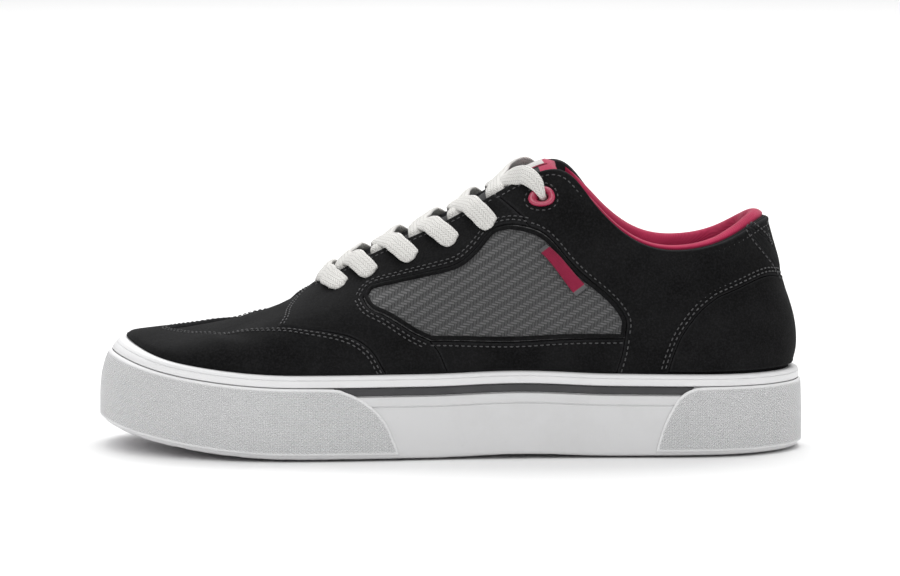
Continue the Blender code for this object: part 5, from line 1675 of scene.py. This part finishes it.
@dataclass
class Sole:
    """Cup sole: moulded wall, foxing tape, stripes, bumpers, tread and foot bed."""

    finishes: Finishes
    around: Array = field(default_factory=lambda: np.arange(SOLE_STEPS) / SOLE_STEPS)

    def build(self) -> None:
        """Make every piece of the sole."""
        self.sidewall()
        self.tape()
        self.stripes()
        self.bumpers()
        self.outsole()
        self.insole()

    def wall_row(self, up: float, lift: float) -> Array:
        """A ring on the outside of the wall."""
        around = self.around
        return LAST.wall(around, np.full_like(around, up), np.full_like(around, lift))

    def plan_row(self, inset: Array | float, height: Callable[[Array], Array]) -> Array:
        """A ring inside the footprint at an inset, and at a height that follows the tread."""
        point, out = LAST.footprint(self.around)
        plan = point - out * np.broadcast_to(inset, self.around.shape)[:, None]
        return np.column_stack([plan, height(point[:, 0])])

    def cup_inset(self) -> Array:
        """How far inside the footprint the cup's inner wall stands."""
        return LAST.top_inset(self.around) + LAST.foxing_wall - 0.0003

    def loft(self, name: str, rows: list[Array], closed: bool, material: bpy.types.Material,
             slot: str, *nodes: str) -> bpy.types.Object:
        """Join rings into a closed piece, capped across the shoe unless it is a ring itself.

        Args:
            name: The piece's name.
            rows: Rings of points, in order round the section.
            closed: Whether the last ring meets the first.
            material: Its material.
            slot: The record's material slot; not used.
            nodes: The solids it stands for.

        Returns:
            The new object.
        """
        count = len(self.around)
        points = np.concatenate(rows)
        faces = [grid_faces(len(rows), count, closed, True)]
        if not closed:
            i = np.arange(1, count // 2 - 1)
            for start in (0, (len(rows) - 1) * count):
                faces.append(np.column_stack([i, i + 1, count - i - 1, count - i]) + start)
                faces.append(np.array([[0, 1, count - 1], [count // 2 - 1, count // 2,
                                                            count // 2 + 1]]) + start)
        uv = np.column_stack([np.tile(LAST.run(self.around), len(rows)), points[:, 2]])
        made = add_piece(name, points, faces, [material], uv, sharp=50.0)
        return place_piece(made, slot, *nodes)

    def sidewall(self) -> None:
        """The moulded cup, with a rounded foot, the proud lower strip and the stripe's rebate."""
        stand = LAST.bumper_stand
        low = lambda x: LAST.ground(x) + OUTSOLE_THICKNESS + 0.0008
        reveal = lambda x: LAST.ground(x) + OUTSOLE_REVEAL
        rows = [self.plan_row(stand + OUTSOLE_BORDER, low),
                self.plan_row(stand + OUTSOLE_BORDER, reveal)]
        angle = np.linspace(0, np.pi / 2, 6)
        rows += [self.wall_row(0.028 + 0.047 * (1 - np.cos(a)), -0.0022 * (1 - np.sin(a)))
                 for a in angle]
        plain = (0.15, 0.26, 0.38, 0.50, LOWER_STRIP_FROM - 0.016)
        rows += [self.wall_row(up, 0.0) for up in plain]
        proud = STRIP_PROUD + 0.0002
        rows += [self.wall_row(LOWER_STRIP_FROM - 0.010, -0.0003),
                 self.wall_row(LOWER_STRIP_FROM - 0.004, -0.0003),
                 self.wall_row(LOWER_STRIP_FROM + 0.004, proud * 0.7),
                 self.wall_row(LOWER_STRIP_FROM + 0.014, proud),
                 self.wall_row(STRIPE_FROM - 0.014, proud),
                 self.wall_row(STRIPE_FROM - 0.004, proud * 0.7),
                 self.wall_row(STRIPE_FROM, -0.0002),
                 self.wall_row(STRIPE_FROM + 0.002, -STRIPE_DEPTH),
                 self.wall_row(STRIPE_TO - 0.012, -STRIPE_DEPTH)]
        top = lambda x: LAST.ground(x) + (STRIPE_TO - 0.012) * LAST.side_height(x)
        rows += [self.plan_row(self.cup_inset(), top), self.plan_row(self.cup_inset(), LAST.floor)]
        self.loft("cup_sidewall", rows, False, self.finishes.white, "white_rubber", "sidewall")

    def tape(self) -> None:
        """The strip round the top of the cup, with rounded edges and a fine line along it."""
        section = (
            (STRIPE_TO, 0.0), (STRIPE_TO + 0.006, 0.0003), (STRIPE_TO + 0.020, 0.0006),
            (0.945, 0.0006), (0.951, 0.0002), (0.957, 0.0006), (0.980, 0.0005),
            (0.993, 0.0001), (1.0, -0.0006),
        )
        high = lambda x: LAST.ground(x) + LAST.side_height(x)
        low = lambda x: LAST.ground(x) + STRIPE_TO * LAST.side_height(x)
        rows = [self.wall_row(up, lift) for up, lift in section]
        rows += [self.plan_row(self.cup_inset(), high), self.plan_row(self.cup_inset(), low)]
        self.loft("foxing_strip", rows, True, self.finishes.tape, "white_rubber", "foxing_tape")

    def stripes(self) -> None:
        """The charcoal inlays in the rebate of the cup, one on each side."""
        for side in Side:
            ends = LAST.seat_wall([Guard(share, 0.5) for share in STRIPE_ENDS], side)[:, 0]
            slant = 0.005 * np.sign(ends[0] - ends[1])
            low, high = STRIPE_FROM + 0.008, STRIPE_TO - 0.004
            count = 200
            foot = line_up(ends[0] - slant, ends[1] + slant, low, count)
            top = line_up(ends[1], ends[0], high, count)
            name = "charcoal_stripe_" + side.value
            Panel(name, np.concatenate([foot, top]), STRIPE_DEPTH - 0.0003,
                  self.finishes.charcoal, spacing=0.0020, rings=(0.0003, 0.0007),
                  radius=0.0006, scale=WALL_SCALE, low=0.0002 - STRIPE_DEPTH,
                  surface=LAST.wall).build("charcoal_rubber", "stripe_" + side.value)

    def bumpers(self) -> None:
        """The textured guards round toe and heel."""
        for name, node, table, middle, centre in (
            ("toe_guard_rubber", "toe_bumper", TOE_BUMPER_SIDE, TOE_BUMPER_MIDDLE, TOE),
            ("heel_guard_rubber", "heel_bumper", HEEL_BUMPER_SIDE, HEEL_BUMPER_MIDDLE, 0.0),
        ):
            lateral, medial = (LAST.seat_wall(table, side) for side in Side)
            if centre == 0.0:
                medial[:, 0] -= 1
            line = np.concatenate([lateral, [[centre, middle]], medial[::-1]])
            foot = line_up(medial[0, 0], lateral[0, 0], EDGE_UP, 60)[1:-1]
            Panel(name, np.concatenate([through(line, 220), foot]), 0.0011,
                  self.finishes.grip, spacing=0.0022, rings=(0.0003, 0.0007, 0.0014),
                  radius=0.0008, scale=WALL_SCALE, low=0.00015, surface=LAST.wall,
                  knurl=True).build("grip_rubber", node)

    def outsole(self) -> None:
        """The tread slab: lugs between cross grooves, flat under heel and forefoot."""
        margin = LAST.bumper_stand + OUTSOLE_BORDER + 0.0008
        count, depth = 15, 0.0014
        pitch = (TOE - 0.02) / count
        around = np.linspace(0.006, TOE - 0.006, 700)
        phase = np.mod((around - 0.01) / pitch + 0.5, 1.0) - 0.5
        first = np.round((around - 0.01) / pitch)
        open_groove = (first >= 1) & (first <= count - 1)
        cut = depth * open_groove * smooth_step((0.115 - np.abs(phase)) / 0.03)
        lateral, out_l = LAST.footprint(around)
        medial, out_m = LAST.footprint(1 - around)
        lateral, medial = lateral - out_l * margin, medial - out_m * margin
        share = np.linspace(0, 1, 15)[None, :, None]
        plan = lateral[:, None] * (1 - share) + medial[:, None] * share
        rim = smooth_step(np.minimum(share, 1 - share)[..., 0] / 0.02)
        base = LAST.ground(plan[..., 0])
        under = np.dstack([plan, base + cut[:, None] + 0.0006 * (1 - rim)])
        over = np.dstack([plan, base + OUTSOLE_THICKNESS])
        count = base.size
        grid = grid_faces(*base.shape, False, False)
        tris = np.concatenate([grid[:, [0, 1, 2]], grid[:, [0, 2, 3]]])
        made = add_piece("tread_slab", np.concatenate([under.reshape(-1, 3), over.reshape(-1, 3)]),
                         shell_faces(tris, count), [self.finishes.tread], sharp=40.0)
        place_piece(made, "tread_rubber", "outsole")

    def insole(self) -> None:
        """The foot bed: a soft slab on the cup's floor that rises at its rim and the arch."""
        around = np.linspace(0.004, TOE - 0.004, 160)
        sides = []
        for share in (around, 1 - around):
            point, out = LAST.footprint(share)
            edge = LAST.top_inset(share) + LAST.foxing_wall + UPPER_WALL + 0.0004
            sides.append(point - out * edge[:, None])
        span = (1 - np.cos(np.linspace(0, np.pi, 41)))[None, :, None] / 2
        plan = sides[0][:, None] * (1 - span) + sides[1][:, None] * span
        floor = LAST.floor(plan[..., 0]) + 0.0003
        ends = np.minimum(around, TOE - around)[:, None] / 0.02
        rim = 1 - smooth_step(np.minimum(np.minimum(span, 1 - span)[..., 0] / 0.12, ends))
        over = np.dstack([plan, floor + 0.0045 + 0.0013 * rim])
        under = np.dstack([plan, floor])
        grid = grid_faces(*floor.shape, False, False)
        tris = np.concatenate([grid[:, [0, 1, 2]], grid[:, [0, 2, 3]]])
        made = add_piece("foot_bed", np.concatenate([over.reshape(-1, 3), under.reshape(-1, 3)]),
                         shell_faces(tris, floor.size), [self.finishes.insole])
        place_piece(made, "insole_textile", "insole")


@dataclass
class Lacing:
    """Six pieces of flat lace: a straight bar in front and five criss-cross pairs above it."""

    finishes: Finishes
    width: float = 0.0090
    thickness: float = 0.0021
    hole_across: float = 0.684
    rows: tuple[float, ...] = (*EYELET_ROWS, TOP_LACE_ROW)

    def build(self) -> None:
        """Make the bar and the crossings."""
        self.bar()
        for number in range(1, len(self.rows)):
            self.crossing(number)

    def ribbon(self, keys: Sequence[Sequence[float]], steps: int = 110) -> tuple[Array, ...]:
        """One flat run through a table of places.

        The section is a superellipse that droops a little at both edges. Its width lies along
        the cross product of the arch's normal and the run's own direction.

        Args:
            keys: Rows of place along the throat, place across, lift, width share and
                thickness share.
            steps: Number of sections.

        Returns:
            Points, face tables and surface coordinates.
        """
        table = through(keys, steps)
        along, across, lift, wide, thick = table.T
        middle = LAST.bridge(along, across, lift, LAST.bridge_crown)
        above = LAST.bridge(along, across, lift + 0.001, LAST.bridge_crown)
        below = LAST.bridge(along, across, lift - 0.001, LAST.bridge_crown)
        normal = unit(above - below)
        way = unit(np.gradient(middle, axis=0))
        side = unit(np.cross(normal, way))
        out = unit(np.cross(way, side))
        angle = 2 * np.pi * np.arange(22) / 22
        flat = np.sign(np.cos(angle)) * np.abs(np.cos(angle)) ** 0.55
        tall = np.sign(np.sin(angle)) * np.abs(np.sin(angle)) ** 0.75
        half = self.width / 2 * np.clip(wide, 0.02, None)[:, None]
        run = lengths(middle)
        curl = 0.00025 * np.sin(run / 0.0061 + across * 7)[:, None] * flat[None]
        x = half * flat[None]
        y = (self.thickness / 2 * thick[:, None] * tall[None]
             - 0.0004 * (flat[None] ** 2) * wide[:, None] + curl * wide[:, None])
        points = middle[:, None] + x[..., None] * side[:, None] + y[..., None] * out[:, None]
        uv = np.stack([np.broadcast_to(run[:, None], x.shape), x], axis=-1)
        uv = np.concatenate([uv.reshape(-1, 2), [[run[0], 0.0], [run[-1], 0.0]]])
        points, faces = tube(points, points[[0, -1]].mean(axis=1))
        return points, faces, uv

    def stem(self, row: float, sign: float) -> tuple[Array, ...]:
        """The gathered end that goes through a punched hole."""
        across = sign * self.hole_across
        count = 12
        lifts = np.linspace(0.0022, -0.0018, count)
        share = float(LAST.throat_share(row))
        around = np.full(count, 1 - share if sign > 0 else share)
        middle = LAST.point(around, np.full(count, EYELET_UP), lifts)
        way, rise = flat_metric(float(around[0]), EYELET_UP)
        first = unit(way)
        second = unit(rise - (rise @ first) * first)
        cosine, sine = circle(count)
        ring = 0.0009 * (cosine[:, None] * first + sine[:, None] * second)
        points, faces = tube(middle[:, None] + ring[None], middle[[0, -1]])
        uv = np.column_stack([points[:, 2], np.full(len(points), across * 0.001)])
        return points, faces, uv

    def join(self, name: str, node: str, runs: Sequence[tuple[Array, ...]]) -> None:
        """Put several closed runs into one lace piece."""
        points, tables, maps = [], [], []
        start = 0
        for run, faces, uv in runs:
            points.append(run)
            maps.append(uv)
            tables += [table + start for table in faces]
            start += len(run)
        made = add_piece(name, np.concatenate(points), tables, [self.finishes.braid],
                         np.concatenate(maps), sharp=80.0)
        place_piece(made, "lace_textile", node)

    def lobe(self, row: float, sign: float, high: float, step: float) -> list[tuple[float, ...]]:
        """The last places of a run: slanting over the eyestay, past its hole to a round tip."""
        return [
            (row - 0.38 * step, sign * 0.56, high, 1.0, 1.0),
            (row - 0.24 * step, sign * 0.62, high, 1.0, 1.0),
            (row - 0.09 * step, sign * 0.68, high - 0.0002, 1.0, 1.0),
            (row + 0.01 * step, sign * 0.715, high - 0.0006, 0.94, 1.0),
            (row + 0.08 * step, sign * 0.742, high - 0.0011, 0.74, 0.9),
            (row + 0.13 * step, sign * 0.758, high - 0.0015, 0.16, 0.5),
        ]

    def bar(self) -> None:
        """The straight bar over the front of the throat."""
        row = self.rows[0]
        left = self.lobe(row + 0.040, -1, 0.0029, 0.17)[::-1]
        right = self.lobe(row + 0.040, 1, 0.0029, 0.17)
        middle = [
            (BAR_MIDDLE - 0.014, -0.40, 0.0029, 1.0, 1.0),
            (BAR_MIDDLE - 0.021, -0.20, 0.0024, 1.0, 1.0),
            (BAR_MIDDLE - 0.023, 0.0, 0.0021, 1.0, 1.0),
            (BAR_MIDDLE - 0.021, 0.20, 0.0024, 1.0, 1.0),
            (BAR_MIDDLE - 0.014, 0.40, 0.0029, 1.0, 1.0),
        ]
        runs = [self.ribbon([*left, *middle, *right], 160), self.stem(row, -1), self.stem(row, 1)]
        self.join("lace_front_bar", "lace_bar", runs)

    def crossing(self, number: int) -> None:
        """Two runs that cross: each starts hidden under the far side, one eyelet further front."""
        start, row = self.rows[number - 1], self.rows[number]
        step = row - start
        last = number == len(self.rows) - 1
        runs = []
        for sign in (-1, 1):
            order = 0.0008 * (sign if number % 2 else -sign)
            keys = [
                (start, -sign * 0.684, -0.0028, 0.20, 0.7),
                (start + step * 0.01, -sign * 0.650, -0.0028, 0.70, 0.7),
                (start + step * 0.03, -sign * 0.600, -0.0028, 1.0, 0.7),
                (start + step * 0.05, -sign * 0.545, -0.0028, 1.0, 0.7),
                (start + step * 0.07, -sign * 0.490, -0.0023, 1.0, 0.8),
                (start + step * 0.09, -sign * 0.430, -0.0008, 1.0, 1.0),
                (start + step * 0.12, -sign * 0.350, 0.0010, 1.0, 1.0),
            ]
            if last:
                top = TOP_EYELET_ROW
                keys += [
                    (start + step * 0.17, -sign * 0.200, 0.0020 + order * 0.5, 1.0, 1.0),
                    (start + step * 0.24, 0.0, 0.0026 + order, 1.0, 1.0),
                    (start + step * 0.34, sign * 0.200, 0.0028 + order * 0.5, 1.0, 1.0),
                    (start + step * 0.50, sign * 0.360, 0.0030, 1.0, 1.0),
                    (start + step * 0.70, sign * 0.470, 0.0031, 0.96, 1.0),
                    (start + step * 0.88, sign * 0.540, 0.0033, 0.88, 1.0),
                    (top - 0.026, sign * 0.605, 0.0032, 0.74, 1.1),
                    (top - 0.010, sign * 0.650, 0.0024, 0.50, 1.2),
                    (top - 0.002, sign * 0.674, 0.0008, 0.36, 1.2),
                    (top, sign * 0.678, -0.0008, 0.34, 1.2),
                    (top, sign * 0.678, -0.0024, 0.34, 1.2),
                ]
                runs.append(self.ribbon(keys, 150))
            else:
                keys += [
                    (start + step * 0.16, -sign * 0.200, 0.0020 + order * 0.5, 1.0, 1.0),
                    (start + step * 0.22, 0.0, 0.0026 + order, 1.0, 1.0),
                    (start + step * 0.29, sign * 0.200, 0.0028 + order * 0.5, 1.0, 1.0),
                    (start + step * 0.39, sign * 0.360, 0.0030, 1.0, 1.0),
                    (start + step * 0.49, sign * 0.470, 0.0030, 1.0, 1.0),
                ]
                keys += self.lobe(row, sign, 0.0030, step)
                runs += [self.ribbon(keys, 130), self.stem(row, sign)]
        self.join(f"lace_pair_{number}", f"lace_cross_{number}", runs)


@dataclass
class Trim:
    """Crimson eyelets, the plain side tag and the rows of stitches on the upper's seams."""

    finishes: Finishes
    upper: Upper
    stitch_pitch: float = 0.00255

    def build(self) -> None:
        """Make the trim."""
        for side in Side:
            self.eyelet(side)
        self.tag()
        self.stitches()

    def eyelet(self, side: Side) -> None:
        """A pressed oval ring: a rounded flange and a short barrel through the suede."""
        low = SKIN_GAP + SUEDE_THICKNESS + 0.0001
        section = (
            (1.00, low), (1.01, low + 0.0004), (0.95, low + 0.0009), (0.80, low + 0.0013),
            (0.58, low + 0.0014), (0.34, low + 0.0012), (0.12, low + 0.0007),
            (-0.06, low - 0.0002), (-0.13, 0.0002), (-0.13, -0.0021), (-0.05, -0.0021),
            (-0.05, low - 0.0003), (0.06, low + 0.00005), (0.50, low),
        )
        around, up = top_place(side), TOP_EYELET_UP
        rows = []
        for reach, lift in section:
            length = EYELET_BORE + (EYELET_LENGTH - EYELET_BORE) * reach
            width = EYELET_BORE * 0.8 + (EYELET_WIDTH - EYELET_BORE * 0.8) * reach
            ring = oval(around, up, length, width, 64)
            rows.append(LAST.point(ring[:, 0], ring[:, 1], np.full(64, lift)))
        made = add_piece("crimson_eyelet_" + side.value, np.concatenate(rows),
                         grid_faces(len(section), 64, True, True), [self.finishes.gloss],
                         sharp=60.0)
        place_piece(made, "crimson_gloss", "eyelet_" + side.value)

    def tag(self) -> None:
        """A small plain woven tag sewn flat over the quarter's front edge."""
        corners = LAST.seat(TAG_CORNERS, Side.LATERAL)
        s, t = np.meshgrid(np.linspace(0, 1, 15), np.linspace(0, 1, 50), indexing="ij")
        place = ((1 - s[..., None]) * ((1 - t[..., None]) * corners[0] + t[..., None] * corners[3])
                 + s[..., None] * ((1 - t[..., None]) * corners[1] + t[..., None] * corners[2]))
        low = SKIN_GAP + SUEDE_THICKNESS + 0.0001
        rim = np.minimum(np.minimum(s, 1 - s) * 0.0075, np.minimum(t, 1 - t) * 0.022)
        fold = np.exp(-((np.minimum(t, 1 - t) - 0.05) / 0.015) ** 2)
        high = low + 0.0002 + 0.0005 * edge_round(rim, 0.0006) - 0.0002 * fold
        over = LAST.point(place[..., 0], place[..., 1], high).reshape(-1, 3)
        under = LAST.point(place[..., 0], place[..., 1], np.full_like(high, low)).reshape(-1, 3)
        grid = grid_faces(*s.shape, False, False)
        tris = np.concatenate([grid[:, [0, 1, 2]], grid[:, [0, 2, 3]]])
        faces = shell_faces(tris, s.size)
        middle = np.minimum(t, 1 - t).ravel()[faces[0]].mean(axis=1)
        slots = np.concatenate([(middle < 0.07).astype(int),
                                np.zeros(len(faces[1]) + len(faces[2]), int)])
        made = add_piece("side_tag_plain", np.concatenate([over, under]), faces,
                         [self.finishes.tag, self.finishes.fold], slots=slots)
        place_piece(made, "crimson_textile", "side_tag")

    def row(self, path: Array, inset: float, lift: float) -> tuple[Array, Array, Array]:
        """Places of the stitches of one row beside a seam.

        Args:
            path: The seam, as shares round and up.
            inset: Distance from the seam, to the left of its direction seen from outside.
            lift: Height over the skin.

        Returns:
            Middles, directions and normals, at an even pitch.
        """
        fine = through(path, len(path) * 4)
        middle = LAST.point(fine[:, 0], fine[:, 1], np.full(len(fine), lift))
        normal = LAST.normal(fine[:, 0], fine[:, 1])
        way = unit(np.gradient(middle, axis=0))
        middle = middle + np.cross(normal, way) * inset
        length = np.concatenate([[0], np.cumsum(np.linalg.norm(np.diff(middle, axis=0), axis=1))])
        at = np.arange(0.0010, length[-1] - 0.0008, self.stitch_pitch)
        pick = lambda values: np.column_stack(
            [np.interp(at, length, values[:, k]) for k in range(3)])
        return pick(middle), unit(pick(way)), unit(pick(normal))

    def stitches(self) -> None:
        """Every row of stitches: small bent capsules of thread, all in one piece a side."""
        suede = SKIN_GAP + SUEDE_THICKNESS + 0.00012
        guard = SKIN_GAP + GUARD_THICKNESS + 0.00020
        for side in Side:
            sign = 1.0 if side is Side.LATERAL else -1.0
            panel_top = side_run(PANEL_TOP, side, 60)
            rows = [(panel_top, amount, suede) for amount in (0.0018, 0.0034)]
            rows += [(side_run(PANEL_FRONT, side, 24), -amount, suede)
                     for amount in (0.0018, 0.0034)]
            rows.append((side_run(PANEL_FOOT, side, 30), -0.0017, suede))
            rows.append((np.concatenate([side_run(QUARTER_MIDDLE, side, 50)]), 0.0017, suede))
            rows.append((side_run(QUARTER_LOWER, side, 12), 0.0017, suede))
            counter = heel_run(COUNTER_SIDE, side, 50)
            rows += [(counter, -amount, guard) for amount in (0.0017, 0.0033)]
            tab = heel_run(TAB_SIDE[::-1], side, 20)
            rows.append((tab, 0.0017, suede))
            edge = float(LAST.throat_share(0.03))
            peak = side_run(QUARTER_UPPER, side, 14)[0, 0]
            rim = line_up(edge if side is Side.LATERAL else 1 - edge, peak, 1.0, 80)
            rows.append((rim, -0.0028, suede))
            collar = line_up(peak, tab[-1, 0], 1.0, 80)
            rows.append((collar, -0.0032, suede))
            cap = self.upper.cap_seam[75:] if side is Side.MEDIAL else self.upper.cap_seam[74::-1]
            rows += [(cap, -amount, guard) for amount in (0.0014, 0.0029)]
            lead = self.upper.lead_seam
            lead = lead[30:] if side is Side.MEDIAL else lead[29::-1]
            rows += [(lead, amount, suede) for amount in (0.0014, 0.0029)]
            ring = oval(top_place(side), TOP_EYELET_UP, 0.0140, 0.0118, 24)
            rows.append((np.vstack([ring, ring[:1]]), 0.0, suede))
            found = [self.row(path, amount * sign, lift) for path, amount, lift in rows]
            self.capsules("thread_" + side.value, *(np.concatenate(part) for part in zip(*found)))

    def capsules(self, name: str, middle: Array, way: Array, normal: Array) -> None:
        """Stitches as capsules, their ends bent down into the leather.

        Args:
            name: The piece's name.
            middle: Middles of the stitches.
            way: Their directions.
            normal: Outward directions of the surface.
        """
        half, radius, sides = 0.00072, 0.00027, 6
        along = np.array([-1.0, -0.8, 0.0, 0.8, 1.0])
        wide = np.array([0.35, 0.9, 1.0, 0.9, 0.35])
        angle = 2 * np.pi * np.arange(sides) / sides
        x = np.repeat(along * half, sides)
        y = (wide[:, None] * np.cos(angle) * radius).ravel()
        z = (wide[:, None] * np.sin(angle) * radius * 0.8 - 0.00020 * along[:, None] ** 2).ravel()
        x, y, z = (np.append(v, e) for v, e in ((x, 0), (y, 0), (z, 0)))
        x, y, z = x[:-1], y[:-1], z[:-1]
        across = unit(np.cross(normal, way))
        points = (middle[:, None] + x[None, :, None] * way[:, None]
                  + y[None, :, None] * across[:, None] + z[None, :, None] * normal[:, None])
        count = len(x)
        start = (np.arange(len(middle)) * count)[:, None, None]
        grid = (grid_faces(len(along), sides, False, True)[None] + start).reshape(-1, 4)
        caps = np.array([np.arange(sides)[::-1], np.arange(sides) + (len(along) - 1) * sides])
        caps = (caps[None] + start).reshape(-1, sides)
        made = add_piece(name, points.reshape(-1, 3), [grid, caps], [self.finishes.thread],
                         sharp=80.0)
        place_piece(made, "black_suede")


@dataclass(frozen=True)
class Studio:
    """Pale floor, soft lights and the camera at the photo's angle."""

    distance: float = 2.0
    elevation: float = 6.0
    aim_height: float = 0.0674
    lens: float = 187.8

    def build(self) -> None:
        """Make floor, lights, world and camera."""
        self.floor()
        self.world()
        shoe = (0.0, 0.0, 0.05)
        self.lamp("key_light", (-0.9, -1.5, 1.9), shoe, 1.6, 15.0)
        self.lamp("fill_light", (1.3, -1.7, 1.0), shoe, 1.6, 5.0)
        self.lamp("top_light", (0.1, 0.5, 2.0), shoe, 1.8, 22.0)
        self.lamp("floor_light", (0.0, 2.8, 2.4), (0.0, 2.8, 0.0), 4.0, 85.0)
        self.camera()

    def floor(self) -> None:
        """A large pale plane under the tread."""
        graph = Graph("pale floor")
        cloud = graph.ramp(graph.noise(graph.place(), 3.0, 2.0), 0.3, 0.7)
        material = graph.finish(
            Base_Color=graph.blend(cloud, (0.93, 0.93, 0.93), (0.945, 0.945, 0.945)),
            Roughness=0.8, Specular_IOR_Level=0.2)
        mesh = bpy.data.meshes.new("floor")
        corners = [(-6, -6, 0), (6, -6, 0), (6, 6, 0), (-6, 6, 0)]
        mesh.from_pydata(corners, [], [(0, 1, 2, 3)])
        mesh.materials.append(material)
        floor = bpy.data.objects.new("floor", mesh)
        bpy.context.collection.objects.link(floor)

    def world(self) -> None:
        """An even pale surround."""
        world = bpy.data.worlds.new("pale surround")
        world.use_nodes = True
        back = world.node_tree.nodes["Background"]
        back.inputs["Color"].default_value = (1.0, 1.0, 1.0, 1.0)
        back.inputs["Strength"].default_value = 0.42
        bpy.context.scene.world = world

    def lamp(self, name: str, place: Place, aim: Place, size: float, power: float) -> None:
        """A square soft light that looks at its aim."""
        data = bpy.data.lights.new(name, "AREA")
        data.size = size
        data.energy = power
        lamp = bpy.data.objects.new(name, data)
        lamp.location = place
        lamp.rotation_euler = (Vector(aim) - Vector(place)).to_track_quat("-Z", "Y").to_euler()
        bpy.context.collection.objects.link(lamp)

    def camera(self) -> None:
        """The camera: far, a little above the shoe, square to its length."""
        data = bpy.data.cameras.new("camera")
        data.lens = self.lens
        data.sensor_width = 36.0
        data.clip_end = 50.0
        camera = bpy.data.objects.new("camera", data)
        tilt = np.radians(self.elevation)
        aim = Vector((0.0, 0.0, self.aim_height))
        camera.location = aim + self.distance * Vector((0.0, -np.cos(tilt), np.sin(tilt)))
        camera.rotation_euler = (aim - camera.location).to_track_quat("-Z", "Y").to_euler()
        bpy.context.collection.objects.link(camera)
        scene = bpy.context.scene
        scene.camera = camera
        scene.view_settings.view_transform = "Standard"


def main() -> None:
    """Build every piece in order and report on it."""
    logging.basicConfig(level=logging.INFO, format="%(message)s")
    finishes = Finishes()
    upper = Upper(finishes)
    for part in (Sole(finishes), upper, Padding(finishes), Lacing(finishes),
                 Trim(finishes, upper), Studio()):
        LOG.info("building %s", type(part).__name__)
        part.build()


if __name__ == "__main__":
    main()
